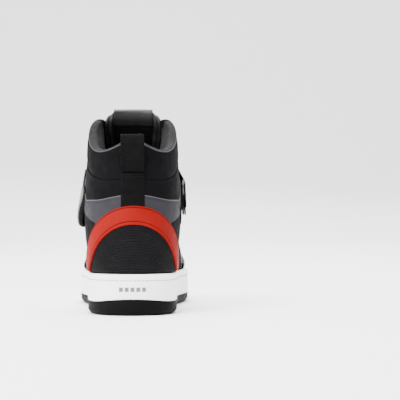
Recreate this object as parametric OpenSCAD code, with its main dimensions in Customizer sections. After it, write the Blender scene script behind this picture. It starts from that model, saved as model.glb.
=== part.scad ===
// Left basketball high top with an ankle strap.
// X points to the inner side of the foot, Y to the toe, Z up; the shoe stands on Z = 0.
// Millimetres.

/* [Sole] */
// Height of the rubber outsole at the back of the heel
rubber_heel_h = 15.5; // [13:0.5:17]
// Height of the rubber outsole under the ball of the foot
rubber_ball_h = 9.5; // [8:0.5:11]
// Height of the midsole's top edge at the heel
midsole_heel_h = 38.4; // [37:0.2:40]
// Height of the midsole's top edge at the ball of the foot
midsole_ball_h = 34; // [33:0.5:35]
// How far the toe of the sole rises off the ground
toe_spring = 7; // [5:0.5:9]
// Height of the cup's floor above the ground
cup_floor_h = 20; // [19.5:0.25:21]

/* [Upper] */
// Thickness of the main panels
panel_t = 1.4; // [1.1:0.1:1.5]
// Thickness of the overlays sewn on top of the panels
overlay_t = 1.5; // [1:0.1:1.8]
// Height of the top of the heel arch band
arch_top_z = 101.5; // [98:0.5:104]
// Width of the heel arch band at its top
arch_w = 17.5; // [14:0.5:20]
// Height of the seam between the back panel and the padded collar
collar_seam_z = 126; // [122:0.5:130]

/* [Closure] */
// Number of eyelets on each side
eyelet_n = 6; // [5:1:6]
// Radius of the hole through an eyelet
eyelet_hole_r = 2.3; // [2:0.1:2.4]
// Width of the flat lace
lace_w = 6; // [5:0.5:6.5]
// Thickness of the flat lace
lace_t = 1.3; // [1:0.1:1.5]
// Width of the ankle strap where it passes the ring
strap_w = 29; // [24:1:29.5]
// Thickness of the strap webbing
strap_t = 1.2; // [1:0.1:1.3]
// Width of the strap's loose end
tab_w = 41; // [34:1:42]
// Width of the pull tape at the heel
tape_w = 22; // [18:1:24]

/* [Hidden] */

tuck = 1.5;          // how far the upper steps in where it enters the midsole cup
tuck_h = 3;          // height of that step
strap_lean = 33;     // lean of the strap's band about X
top_row = 5;         // parameter v at the topline and the throat's edge
edge_row = 4.2;      // parameter v at the outer edge of the eyestays
toe_u = 10;          // parameter u at the toe; 0 is the heel

// Control net of the upper's outer surface: one column each from heel to toe, from the sole
// up to the topline, as half width, Y and Z. Both sides share it.
HALF = [
    [[0, -147, 20], [0, -149.5, 50], [0, -147.5, 82], [0, -141, 112], [0, -139, 138], [0, -142.5, 166]],
    [[25, -142, 20], [26, -143.5, 50], [26, -141, 82], [24.5, -135, 112], [24.5, -133, 136], [24.5, -135, 150]],
    [[41, -119, 20], [42, -119.5, 50], [42.5, -118, 82], [41.5, -113.5, 110], [41.5, -111, 136], [40, -111, 153.5]],
    [[39.5, -84, 20], [42.5, -84, 50], [47.5, -82.5, 80], [47.5, -80, 108], [44.6, -78.5, 140], [43, -78, 172]],
    [[38, -48, 20], [41.5, -49, 48], [47, -51, 78], [46.5, -53.5, 108], [42.5, -54, 145], [38.5, -52, 185]],
    [[38.5, -15, 20], [41.5, -17, 46], [44, -22, 74], [42, -28, 104], [36.5, -33, 145], [30.2, -34, 188]],
    [[41.5, 15, 20], [43.5, 12, 44], [43.5, 5, 70], [39, -3, 96], [33, -11, 124], [24.5, -18, 147]],
    [[47.8, 45, 20], [49.8, 41, 42], [47, 34, 64], [40.5, 26, 86], [31.5, 17, 105], [21, 10, 117]],
    [[52.3, 80, 20], [54.8, 77, 40], [49.5, 71, 57], [40, 63, 71], [29, 53, 84], [18, 44, 94]],
    [[41.8, 128, 21], [44.2, 128, 38], [38, 119, 53], [29, 106, 63], [20.5, 91, 71], [12.5, 76, 79]],
    [[0, 152, 24], [0, 156, 40], [0, 147, 56], [0, 126, 65], [0, 102, 71], [0, 80, 78]],
];
// How far the sole's wall stands outside the upper at each column
LEDGE = [3.2, 2.4, 1.4, 1.5, 2.2, 3, 3.8, 4.6, 4.8, 5.3, 5.8];

function lerp(a, b, t) = a + (b - a) * t;
function clamp(x, lo, hi) = min(max(x, lo), hi);
function smooth(t) = let (c = clamp(t, 0, 1)) c * c * (3 - 2 * c);
function steps(a, b, n) = [for (i = [0:n]) lerp(a, b, i / n)];

// The centre line swings inward towards the toe
function centre_x(y) = let (t = clamp((y + 150) / 300, 0, 1))
    -1.5 + t + 9.5 * pow(clamp((t - 0.45) / 0.55, 0, 1), 3);

NET = [for (i = [0:19])
    let (col = i <= toe_u ? HALF[i] : HALF[2 * toe_u - i], side = i <= toe_u ? -1 : 1)
    let (pts = [for (p = col) [side * p[0] + centre_x(p[1]), p[1], p[2]]])
    concat([2 * pts[0] - pts[1]], pts, [2 * pts[5] - pts[4]])];

function blend4(t) = [(1 - t) ^ 3, 3 * t ^ 3 - 6 * t ^ 2 + 4, -3 * t ^ 3 + 3 * t ^ 2 + 3 * t + 1, t ^ 3] / 6;
function slope4(t) = [-(1 - t) ^ 2, 3 * t ^ 2 - 4 * t, -3 * t ^ 2 + 2 * t + 1, t ^ 2] / 2;
function columns_at(i) = [for (k = [0:3]) NET[(i + k + 39) % 20]];

// Point of the outer surface; u runs round the shoe from the heel, v from the sole to the top
function surf(u, v) =
    let (i = floor(u), j = clamp(floor(v), 0, 4), b = blend4(v - j))
    blend4(u - i) * [for (c = columns_at(i)) b * [c[j], c[j + 1], c[j + 2], c[j + 3]]];

function outward(u, v) =
    let (i = floor(u), j = clamp(floor(v), 0, 4), cols = columns_at(i))
    let (across = slope4(u - i) * [for (c = cols) blend4(v - j) * [c[j], c[j + 1], c[j + 2], c[j + 3]]])
    let (up = blend4(u - i) * [for (c = cols) slope4(v - j) * [c[j], c[j + 1], c[j + 2], c[j + 3]]])
    let (n = cross(up, across)) n / norm(n);

// Same surface moved outward by d, stepped in where it enters the cup
function skin(u, v, d) =
    let (p = surf(u, v), step = tuck * smooth((midsole_top(p[1]) + tuck_h - p[2]) / (tuck_h - 0.5)))
    p + (d - step) * outward(u, v);

function v_at_z(u, z, lo = 0, hi = 5, n = 12) =
    n == 0 ? (lo + hi) / 2 :
    let (m = (lo + hi) / 2) surf(u, m)[2] < z ? v_at_z(u, z, m, hi, n - 1) : v_at_z(u, z, lo, m, n - 1);

// Side profile of the sole, as heights along Y
function ground(y) = toe_spring * clamp((y - 92) / 58, 0, 1) ^ 2;
function rubber_top(y) = rubber_ball_h + ground(y) + 3 * smooth((-20 - y) / 80)
    + (rubber_heel_h - rubber_ball_h - 3) * clamp((-125 - y) / 25, 0, 1) ^ 2;
function midsole_top(y) = midsole_heel_h - (midsole_heel_h - midsole_ball_h) * smooth((y + 110) / 110)
    + (toe_spring / 2) * smooth((y - 85) / 60);
function cup_floor(y) = cup_floor_h + 3 * smooth((y - 95) / 50);
function core_top(y) = cup_floor(y) + 6 - 4 * smooth((y + 80) / 120);
function upper_base(y) = core_top(y) + 2;

// Outline of the foot seen from above, moved outward by d
function outline(d, n = 120) = [for (i = [0:n - 1]) outline_point(20 * i / n, d)];
function outline_point(u, d) =
    let (v = v_at_z(u, 32), p = surf(u, v), n = outward(u, v), m = norm([n[0], n[1]]))
    [p[0] + d * n[0] / m, p[1] + d * n[1] / m];
function ledge(u) = let (w = u > toe_u ? 20 - u : u, i = floor(w))
    blend4(w - i) * [for (j = [-1:2]) LEDGE[fold(i + j)]];
function fold(i) = i < 0 ? -i : i > toe_u ? 2 * toe_u - i : i;
function sole_outline(inset = 0, n = 120) =
    [for (i = [0:n - 1]) let (u = 20 * i / n) outline_point(u, ledge(u) - inset)];

// Arc length along the heel, and the arch band's edges
function heel_arc(u) = let (w = abs(u + 0.05)) 25 * w + 1.6 * w * w;
function arch_outer_z(u) = arch_top_z - 0.0098 * heel_arc(u) ^ 2;
function arch_inner_z(u) = arch_top_z - arch_w - 0.0126 * heel_arc(u) ^ 2;
function arch_mid_z(u) = (arch_outer_z(u) + arch_inner_z(u)) / 2;
function seam_z(u) = let (a = heel_arc(u)) collar_seam_z + 34 * smooth((a - 30) / 110);
function wing_top_z(u) = let (a = heel_arc(u))
    min(107 + 5 * (1 - smooth(a / 45)) + 12 * smooth((a - 68) / 26) + 0.45 * max(a - 86, 0), seam_z(u) - 7);
function wing_low_z(u) = let (a = heel_arc(u)) 87 + (a > 45 ? 0.26 : 1.2) * (a - 45);

// A closed slab between two grids of points with the same rows
module slab(inner, outer) {
    n = len(inner);
    m = len(inner[0]);
    function id(side, i, k) = (side * n + i) * m + k;
    quads = concat(
        [for (i = [0:n - 2], k = [0:m - 2]) [id(1, i, k), id(1, i + 1, k), id(1, i + 1, k + 1), id(1, i, k + 1)]],
        [for (i = [0:n - 2], k = [0:m - 2]) [id(0, i, k), id(0, i, k + 1), id(0, i + 1, k + 1), id(0, i + 1, k)]],
        [for (i = [0:n - 2]) [id(1, i + 1, 0), id(1, i, 0), id(0, i, 0), id(0, i + 1, 0)]],
        [for (i = [0:n - 2]) [id(1, i, m - 1), id(1, i + 1, m - 1), id(0, i + 1, m - 1), id(0, i, m - 1)]],
        [for (k = [0:m - 2]) [id(1, 0, k), id(1, 0, k + 1), id(0, 0, k + 1), id(0, 0, k)]],
        [for (k = [0:m - 2]) [id(1, n - 1, k + 1), id(1, n - 1, k), id(0, n - 1, k), id(0, n - 1, k + 1)]]);
    polyhedron(points = [for (grid = [inner, outer], row = grid, p = row) p],
        faces = [for (q = quads) each [[q[0], q[1], q[2]], [q[0], q[2], q[3]]]]);
}

// A panel on the surface: columns us, and at each column the rows v listed by rows(u), from depth
// d_in to d_out. In a shaped panel the depths are functions of u, v and the share t of the height.
module shaped_panel(us, rows, d_in, d_out) {
    function grid(d) = [for (u = us) let (vs = rows(u), n = len(vs) - 1)
        [for (k = [0:n]) skin(u, vs[k], d(u, vs[k], k / n))]];
    slab(grid(d_in), grid(d_out));
}
module panel(us, rows, d_in, d_out) {
    shaped_panel(us, rows, function (u, v, t) d_in, function (u, v, t) d_out);
}

function side_us(s, a, b, n) = s > 0 ? steps(a, b, n) : steps(-b, -a, n);

// Rows of a panel that goes down into the cup: two at the step, then n + 1 even ones up to hi
function cup_rows(u, hi, n) =
    let (y = surf(u, 0.6)[1], top = midsole_top(y))
    concat([v_at_z(u, upper_base(y)), v_at_z(u, top + 0.4)], steps(v_at_z(u, top + tuck_h + 0.4), hi, n));

// Rows of an overlay from the cup's rim, or from lo where that is higher, up to hi
function rim_v(u, rise = 0.6) = v_at_z(u, midsole_top(surf(u, 0.8)[1]) + rise);
function rim_rows(u, lo, hi, n) =
    let (a = max(rim_v(u), lo), b = max(rim_v(u, tuck_h + 0.4), a + 0.03)) concat([a], steps(b, hi, n));

module side_profile(low, high) {
    ys = steps(-160, 160, 64);
    rotate([90, 0, 90]) translate([0, 0, -80]) linear_extrude(height = 160)
        polygon(concat([for (y = ys) [y, low(y)]], [for (i = [len(ys) - 1:-1:0]) [ys[i], high(ys[i])]]));
}

module sole_layer(inset, low, high) {
    intersection() {
        translate([0, 0, -5]) linear_extrude(height = 60) polygon(sole_outline(inset));
        side_profile(low, high);
    }
}

module cup_layer(d, low, high) {
    intersection() {
        linear_extrude(height = 60) polygon(outline(d));
        side_profile(low, high);
    }
}

module outsole() {
    color("#2b2b2b") union() {
        sole_layer(1.2, function (y) ground(y), function (y) ground(y) + 3.4);
        sole_layer(0, function (y) ground(y) + 3.4, function (y) rubber_top(y));
    }
}

module midsole() {
    color("#f2f2f0") difference() {
        sole_layer(0, function (y) rubber_top(y), function (y) midsole_top(y));
        cup_layer(-tuck + 0.5, function (y) cup_floor(y), function (y) 70);
        translate([shank_x, shank_y, cup_floor_h - shank_t]) linear_extrude(height = shank_t + 1) shank_shape(0);
    }
}

shank_x = 0;
shank_y = -30;
shank_t = 1.6;
shank_len = 84;
shank_w = 24;
module shank_shape(gap) {
    offset(r = 6) square([shank_w - 12 - gap, shank_len - 12 - gap], center = true);
}

module shank() {
    color("#5a5f66") translate([shank_x, shank_y, cup_floor_h - shank_t])
        linear_extrude(height = shank_t) shank_shape(0.4);
}

pad_y = -104;
pad_r = 21;
pad_t = 3.5;
module midsole_core() {
    color("#d9d9d4") difference() {
        cup_layer(-tuck, function (y) cup_floor(y), function (y) core_top(y));
        translate([centre_x(pad_y), pad_y, cup_floor_h - 1])
            cylinder(r = pad_r + 0.2, h = pad_t + 1, $fn = 48);
    }
}

module heel_pad() {
    color("#c9b458") translate([centre_x(pad_y), pad_y, cup_floor_h])
        cylinder(r = pad_r, h = pad_t - 0.1, $fn = 48);
}

module insole_board() {
    color("#b9a88a") cup_layer(-tuck, function (y) core_top(y), function (y) core_top(y) + 1.6);
}

liner_t = 1.1;
liner_gap = 2.4;     // from the back of the main panels to the lining, below the collar
module sockliner() {
    color("#26272b") cup_layer(-panel_t - liner_gap - liner_t - tuck - 1.8,
        function (y) core_top(y) + 2, function (y) core_top(y) + 6.4 - 1.4 * smooth((y + 60) / 80));
}

// Row of short raised bars on the back of the heel
bar_pitch = 0.2;
bar_len = 0.14;
function wall_point(u, z, d) =
    let (w = (u + 20) % 20, p = outline_point(w, ledge(w) + d)) [p[0], p[1], z];
module heel_badge() {
    color("#b8b8b3") for (i = [-2:2]) {
        us = steps(bar_pitch * i - bar_len / 2, bar_pitch * i + bar_len / 2, 2);
        slab([for (u = us) [wall_point(u, 22.4, 0.02), wall_point(u, 26.4, 0.02)]],
            [for (u = us) [wall_point(u, 22.4, 0.5), wall_point(u, 26.4, 0.5)]]);
    }
}

seam_gap = 0.8;      // between the edges of neighbouring panels, along Z
module heel_panel() {
    color("#2a282d") panel(steps(-2.17, 2.17, 20),
        function (u) cup_rows(u, v_at_z(u, arch_mid_z(u)), 4), -panel_t, 0);
}

module heel_counter() {
    color("#8d8474") panel(steps(-3.2, 3.2, 26), function (u) cup_rows(u, v_at_z(u, 82 - 3.2 * u * u), 3),
        -panel_t - 1.9, -panel_t - 0.9);
}

module heel_arch() {
    color("#c8412f") panel(steps(-2.72, 2.62, 34),
        function (u) rim_rows(u, v_at_z(u, arch_inner_z(u)), v_at_z(u, arch_outer_z(u)), 3),
        0.45, 0.45 + overlay_t);
}

function wing_floor_v(u) =
    let (low = v_at_z(u, max(arch_mid_z(u) + seam_gap / 2, wing_low_z(u))))
    lerp(low, edge_row, smooth((abs(u) - 4.5) / 0.8));

module ankle_wing(s) {
    color("#67646b") panel(side_us(s, 0.02, 4.88, 17),
        function (u) steps(wing_floor_v(u) + 0.02, v_at_z(u, wing_top_z(u)), 2), -panel_t, 0);
}
module wing_lateral() { ankle_wing(1); }
module wing_medial() { ankle_wing(-1); }

module back_panel() {
    color("#222126") panel(steps(-4.88, 4.88, 34),
        function (u) steps(v_at_z(u, wing_top_z(u) + seam_gap), v_at_z(u, seam_z(u) - seam_gap), 2),
        -panel_t, 0);
}

// Padded collar: outer cover, foam behind it
module collar_cuff() {
    color("#252427") shaped_panel(steps(-4.88, 4.88, 34),
        function (u) steps(v_at_z(u, seam_z(u)), top_row, 4),
        function (u, v, t) -panel_t, function (u, v, t) 1.2 * sin(180 * t));
}

function foam_depth(v) = panel_t + 0.4 + 4.2 * smooth((v - 2.3) / 0.9);
module collar_foam() {
    color("#8b8b86") shaped_panel(steps(-4.6, 4.6, 32), function (u) steps(2.65, 4.9, 5),
        function (u, v, t) -foam_depth(v), function (u, v, t) -panel_t - 0.4);
}

// Sock lining of the whole shoe, pushed inward by the collar foam
function liner_depth(u, v) =
    panel_t + liner_gap + 3 * smooth((v - 2.2) / 0.9) * (1 - smooth((abs(u) - 4.5) / 0.9));
function liner_top(u) = lerp(4.93, 4.1, smooth((abs(u) - 4.6) / 0.5));
module lining() {
    color("#3b3b3d") shaped_panel(steps(-9.9, 9.9, 48), function (u) cup_rows(u, liner_top(u), 6),
        function (u, v, t) -liner_depth(u, v) - liner_t, function (u, v, t) -liner_depth(u, v));
}

// Side panels below the ankle wing and forward to the vamp
function quarter_rows(u) = let (hi = wing_floor_v(u) - 0.02)
    abs(u) < 2.3 ? steps(v_at_z(u, arch_mid_z(u) + seam_gap / 2), hi, 6) : cup_rows(u, hi, 4);
module quarter(s) {
    color("#232227") panel(side_us(s, 1.5, 6.92, 24), function (u) quarter_rows(u), -panel_t, 0);
}
module quarter_lateral() { quarter(1); }
module quarter_medial() { quarter(-1); }

// Slim light edge that follows the front of the arch band on the outer side
function trim_v(u) = max(rim_v(u, tuck_h + 0.6), v_at_z(u, arch_outer_z(u) + 1));
module side_trim() {
    color("#c4c4c0") panel(steps(2.2, 2.62, 6),
        function (u) [trim_v(u), trim_v(u) + 0.12], 0.4, 1.1);
}

function toe_side(u) = u > toe_u ? 2 * toe_u - u : u;
module vamp() {
    us = concat(steps(6.94, 8.93, 8), steps(9.08, 10.92, 10), steps(11.07, 13.06, 8));
    color("#26252a") panel(us,
        function (u) cup_rows(u, toe_side(u) < 9 ? edge_row - 0.03 : top_row, 5), -panel_t, 0);
}

module toe_overlay() {
    color("#1d1c20") panel(steps(7.4, 12.6, 28),
        function (u) rim_rows(u, 0, rim_v(u) + 0.3 + 0.8 * smooth((toe_side(u) - 7.4) / 1.7), 2),
        0.4, 0.1 + overlay_t);
}

module toe_puff() {
    color("#8d8474") panel(steps(8.5, 11.5, 16),
        function (u) cup_rows(u, 2.2, 3), -panel_t - 2, -panel_t - 0.9);
}

module throat_bar() {
    color("#1d1c20") panel(steps(9.25, 10.75, 10), function (u) steps(4.2, top_row, 2), 0.4, overlay_t);
}

// Eyelet rows
eyelet_v = 4.64;
eyelet_us = steps(6.8, 8.6, eyelet_n - 1);
module at_eyelet(s, u) {
    w = s > 0 ? u : 20 - u;
    n = outward(w, eyelet_v);
    translate(skin(w, eyelet_v, 0)) rotate([0, acos(n[2]), atan2(n[1], n[0])]) children();
}

module eyestay(s) {
    color("#1b1a1e") difference() {
        panel(side_us(s, 4.95, 8.9, 20),
            function (u) steps(edge_row + 0.02, top_row, 2), -panel_t, overlay_t);
        for (u = eyelet_us) at_eyelet(s, u)
            translate([0, 0, -4]) cylinder(r = eyelet_hole_r + 0.7, h = 8, $fn = 24);
    }
}
module eyestay_lateral() { eyestay(1); }
module eyestay_medial() { eyestay(-1); }

module eyelets() {
    r = eyelet_hole_r;
    color("#4a4a4e") for (s = [-1, 1], u = eyelet_us) at_eyelet(s, u) rotate_extrude($fn = 24)
        polygon([[r, -1.9], [r + 0.4, -1.9], [r + 0.4, overlay_t + 0.35], [r + 1.5, overlay_t + 0.35],
            [r + 1.1, overlay_t + 0.95], [r + 0.2, overlay_t + 0.95], [r, overlay_t + 0.6]]);
}

// Flat lace from eyelet a on one side to eyelet b on the other, lift above its neighbour
lace_rise = overlay_t + 1.8;
module lace(s, ua, ub, lift) {
    wa = s > 0 ? ua : 20 - ua;
    wb = s > 0 ? 20 - ub : ub;
    ends = [skin(wa, eyelet_v, lace_rise), skin(wb, eyelet_v, lace_rise)];
    rims = [skin(wa, top_row, lace_rise), skin(wb, top_row, lace_rise)];
    up = [0, 0.62, 0.785];
    middle = lerp(rims[0], rims[1], 0.5) + (0.8 + lift) * up;
    route = [ends[0], rims[0] + 0.5 * lift * up, middle, rims[1] + 0.5 * lift * up, ends[1]];
    along = (route[4] - route[0]) / norm(route[4] - route[0]);
    across = cross(up, along) * lace_w / 2;
    slab([for (p = route) [p + across, p - across]],
        [for (p = route) [p + across + lace_t * up, p - across + lace_t * up]]);
}

module laces() {
    color("#161618") {
        for (i = [0:eyelet_n - 2]) {
            lace(1, eyelet_us[i], eyelet_us[i + 1], 0);
            lace(-1, eyelet_us[i], eyelet_us[i + 1], lace_t + 0.5);
        }
    }
}

// Tongue: centre line of its outer face as Y and Z, from under the vamp to the top
TONGUE = [[98, 63], [84, 71.5], [62, 84], [44, 93.2], [28, 103.5], [12, 116], [-1, 129.5], [-11.5, 144.5],
    [-18.5, 161], [-23, 177], [-26.5, 191], [-29, 203], [-31, 215]];
fold_z = 166;        // height of the fold across the tongue
tongue_end_z = 195.5;
cap_w = 38.5;
function tongue_ctrl(i) = [for (k = [0:3]) TONGUE[min(i + k, len(TONGUE) - 1)]];
function tongue_mid(s) = let (i = floor(s)) blend4(s - i) * tongue_ctrl(i);
function tongue_dir(s) = let (i = floor(s), d = slope4(s - i) * tongue_ctrl(i)) d / norm(d);
function tongue_s(z, lo = 0, hi = 10, n = 14) =
    n == 0 ? (lo + hi) / 2 :
    let (m = (lo + hi) / 2) tongue_mid(m)[1] < z ? tongue_s(z, m, hi, n - 1) : tongue_s(z, lo, m, n - 1);
function tongue_half(z) = 16 + 11.9 * smooth((z - 60) / 75) - 2.6 * smooth((z - 140) / 25);
function tongue_t(z) = 4.2 + 2.8 * smooth((z - 120) / 50);
// Point of the tongue at station s, x across, d off the outer face and h further along
function tongue_point(s, x, d, h = 0) =
    let (c = tongue_mid(s), g = tongue_dir(s), off = d - 0.00039 * pow(abs(x), 3))
    [x + centre_x(c[0]) + 0.4, c[0] + off * g[1] + h * g[0], c[1] - off * g[0] + h * g[1]];

module tongue_part(z0, z1, n) {
    zs = steps(z0, z1, n);
    function grid(k) = [for (x = [1, 0.72, 0.4, 0, -0.4, -0.72, -1])
        [for (z = zs) let (s = tongue_s(z)) tongue_point(s, x * tongue_half(z), -k * tongue_t(z))]];
    slab(grid(1), grid(0));
}
module tongue_lower() { color("#1c1b1e") tongue_part(66, fold_z - 1.5, 16); }
module tongue_top() { color("#19181b") tongue_part(fold_z + 1.5, tongue_end_z, 5); }

module tongue_cap() {
    t = tongue_t(tongue_end_z);
    inner = [[176, 0.3, 0], [tongue_end_z, 0.3, 0], [tongue_end_z, 0, 0.5], [tongue_end_z, -t / 2, 0.9],
        [tongue_end_z, -t, 0.5], [tongue_end_z, -t - 0.3, 0], [185, -t - 0.3, 0]];
    outer = [[176, 1.3, 0], [tongue_end_z, 1.3, 0], [tongue_end_z, 0.7, 1.2], [tongue_end_z, -t / 2, 1.9],
        [tongue_end_z, -t - 0.7, 1.2], [tongue_end_z, -t - 1.3, 0], [185, -t - 1.3, 0]];
    function grid(path) = [for (x = [0.5, 0.25, 0, -0.25, -0.5])
        [for (i = [len(path) - 1:-1:0]) tongue_point(tongue_s(path[i][0]), x * cap_w, path[i][1], path[i][2])]];
    color("#39393a") slab(grid(outer), grid(inner));
}

module lace_keeper() {
    function grid(d) = [for (x = [9, 0, -9]) [for (z = [92, 97, 102]) tongue_point(tongue_s(z), x, d)]];
    color("#2c2c2e") slab(grid(0.1), grid(1));
}

// Tape up the back of the heel, and the loop above it
tape_half_u = tape_w / 50;
loop_z = 132.5;
loop_t = 1.3;
LOOP = [[-140.4, 132.5], [-143, 136.5], [-147.2, 143], [-148.2, 154], [-147.6, 163], [-145, 169.4],
    [-142.4, 163], [-141.9, 154], [-141, 143], [-140.1, 136.5]];
function ring_curve(ctrl, n) = let (m = len(ctrl)) [for (i = [0:n - 1]) let (t = m * i / n, j = floor(t))
    blend4(t - j) * [for (k = [0:3]) ctrl[(j + k) % m]]];
function ring_offset(pts, d) = let (m = len(pts)) [for (i = [0:m - 1])
    let (g = pts[(i + 1) % m] - pts[(i + m - 1) % m]) pts[i] + d * [g[1], -g[0]] / norm(g)];

module heel_tape() {
    color("#151417") shaped_panel(steps(-0.01 - tape_half_u, -0.01 + tape_half_u, 4),
        function (u) steps(v_at_z(u, arch_outer_z(0) + 0.6), v_at_z(u, 130.6), 3),
        function (u, v, t) 0.4 + 0.7 * t * t, function (u, v, t) 1.6 + 0.7 * t * t);
}

module pull_loop() {
    mid = ring_curve(LOOP, 40);
    color("#2c2b2e") translate([centre_x(-145) - tape_w / 2 - 0.1, 0, 0])
        rotate([90, 0, 90]) linear_extrude(height = tape_w) difference() {
            polygon(ring_offset(mid, -loop_t / 2));
            polygon([for (p = ring_offset(mid, loop_t / 2)) if (p[1] > loop_z + 4) p]);
        }
}

// Ankle strap, drawn in a frame that leans with the band: X, forward, up along the band's width
module ankle_frame() { rotate([strap_lean, 0, 0]) children(); }
band_z = 128;        // middle of the band's width in that frame
layer_step = 1.9;    // from the under layer to the over layer
ring_x = 48.2;
ring_f = 10;
ring_r = 1.2;
BAND = [[-48.3, 5], [-48.3, 12], [-46.4, 23], [-44.9, 34], [-42.9, 45], [-39.6, 56], [-34.9, 66.5],
    [-26, 74.5], [-10, 78], [6, 78], [22, 74.5], [32.2, 66.5], [37.4, 56], [40.6, 45], [41.9, 34], [43.7, 23],
    [45.7, 13], [46.1, 7], [46.1, 1]];
function open_ctrl(ctrl, j) = [for (k = [0:3]) ctrl[j + k]];
function open_curve(ctrl, t) = let (j = min(floor(t), len(ctrl) - 4)) blend4(t - j) * open_ctrl(ctrl, j);
function open_side(ctrl, t) =
    let (j = min(floor(t), len(ctrl) - 4), g = slope4(t - j) * open_ctrl(ctrl, j)) [-g[1], g[0]] / norm(g);
function band_point(t, d) = open_curve(BAND, t) + d * open_side(BAND, t);
function band_t(f, lo = 12, hi = 16, n = 12) =
    n == 0 ? (lo + hi) / 2 :
    let (m = (lo + hi) / 2) open_curve(BAND, m)[1] > f ? band_t(f, m, hi, n - 1) : band_t(f, lo, m, n - 1);
band_end = band_t(ring_f - 0.8);
function band_step(t) = layer_step - 0.4 * smooth((t - 7) / 4) + 2.7 * smooth((t - 12.8) / (band_end - 12.8));
strap_t0 = 2;         // where the sewn end starts
tab_t0 = 2.32;       // where the over layer hands on to the loose end

module strap() {
    under = steps(strap_t0, band_end, 44);
    over = steps(tab_t0, band_end, 40);
    color("#1e1d20") ankle_frame() translate([0, 0, band_z - strap_w / 2]) linear_extrude(height = strap_w) {
        polygon(concat([for (t = under) band_point(t, strap_t / 2)],
            [for (i = [len(under) - 1:-1:0]) band_point(under[i], -strap_t / 2)]));
        polygon(concat([for (t = over) band_point(t, band_step(t) + strap_t / 2)],
            [for (i = [len(over) - 1:-1:0]) band_point(over[i], band_step(over[i]) - strap_t / 2)]));
        translate([ring_x, ring_f]) difference() {
            circle(r = 2.7, $fn = 32);
            circle(r = 1.5, $fn = 32);
            translate([-5, 0]) square([10, 10]);
        }
    }
}

// Loose end: lower and upper edges as X and forward, from the strap to the end
TAB_LOW = [[-46.2, 40], [-46.9, 34.2], [-47.9, 25], [-49.9, 12], [-51.3, 0], [-52.7, -10], [-53.7, -16.5], [-54.5, -23]];
TAB_HIGH = [[-46.2, 40], [-46.9, 34.2], [-47.7, 25], [-48.6, 12], [-48.6, 0], [-48.2, -10], [-47.8, -16.5], [-47.2, -23]];
tab_t = 1.8;
function tab_width(f) = strap_w + (tab_w - strap_w) * smooth((30 - f) / 34);
function tab_point(t, q, d) =
    let (a = open_curve(TAB_LOW, t), b = open_curve(TAB_HIGH, t), c = lerp(a, b, q), n = open_side(TAB_LOW, t))
    [c[0] - d * n[0], c[1] - d * n[1], band_z + (q - 0.5) * tab_width(c[1])];

module tab_layer(t0, t1, q0, q1, d0, d1, n) {
    function grid(d) = [for (t = steps(t0, t1, n)) [for (q = steps(q0, q1, 2)) tab_point(t, q, d)]];
    ankle_frame() slab(grid(d1), grid(d0));
}
module strap_tab() { color("#1b1a1d") tab_layer(0.12, 5, 0, 1, -tab_t / 2, tab_t / 2, 14); }
module tab_shell() {
    color("#adadab") tab_layer(3.3, 4.95, 0.03, 0.97, tab_t / 2 + 0.15, tab_t / 2 + 1.8, 6);
}
module hook_patch() {
    color("#0f0f10") tab_layer(3.1, 4.5, 0.06, 0.36, -tab_t / 2 - 0.6, -tab_t / 2 - 0.12, 5);
}
module loop_patch() {
    color("#141416") panel(steps(3.0, 3.55, 6),
        function (u) steps(v_at_z(u, 91), v_at_z(u, 102), 2), 0.25, 0.7);
}

// Wire ring that the strap turns back through, and the tape that holds it
module strap_ring() {
    w = 33;
    l = 12;
    c = 3;
    color("#55555a") ankle_frame() translate([ring_x, ring_f - l / 2, band_z]) {
        for (s = [-1, 1]) {
            translate([0, s * l / 2, -w / 2 + c]) cylinder(r = ring_r, h = w - 2 * c, $fn = 24);
            translate([0, -l / 2 + c, s * w / 2]) rotate([-90, 0, 0]) cylinder(r = ring_r, h = l - 2 * c, $fn = 24);
        }
        for (a = [0, 90, 180, 270])
            rotate([a, 0, 0]) translate([0, (a % 180 == 0 ? l : w) / 2 - c, (a % 180 == 0 ? w : l) / 2 - c])
                rotate([0, 90, 0]) rotate([0, 0, 90])
                    rotate_extrude(angle = 90, $fn = 24) translate([c, 0]) circle(r = ring_r, $fn = 24);
    }
}

module ring_keeper() {
    f = ring_f - 12;
    color("#1e1d20") ankle_frame() translate([0, 0, band_z - 11]) linear_extrude(height = 18) {
        translate([ring_x, f]) difference() {
            circle(r = 2.5, $fn = 32);
            circle(r = 1.3, $fn = 32);
            translate([-5, -10]) square([10, 10]);
        }
        translate([ring_x - 2.5, f - 26]) square([1.2, 26.01]);
        translate([ring_x + 1.3, f - 9]) square([1.2, 9.01]);
        translate([ring_x - 1.31, f - 9]) square([2.62, 1.2]);
    }
}

outsole();
midsole();
midsole_core();
heel_pad();
shank();
insole_board();
sockliner();
heel_badge();
heel_panel();
heel_counter();
heel_arch();
wing_lateral();
wing_medial();
back_panel();
collar_cuff();
collar_foam();
lining();
quarter_lateral();
quarter_medial();
side_trim();
vamp();
toe_overlay();
toe_puff();
throat_bar();
eyestay_lateral();
eyestay_medial();
eyelets();
laces();
tongue_lower();
lace_keeper();
tongue_top();
tongue_cap();
heel_tape();
pull_loop();
strap();
loop_patch();
strap_tab();
tab_shell();
hook_patch();
strap_ring();
ring_keeper();
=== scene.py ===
"""Looks of the basketball high top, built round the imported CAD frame. Lengths are in millimetres until make()."""

import math

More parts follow.
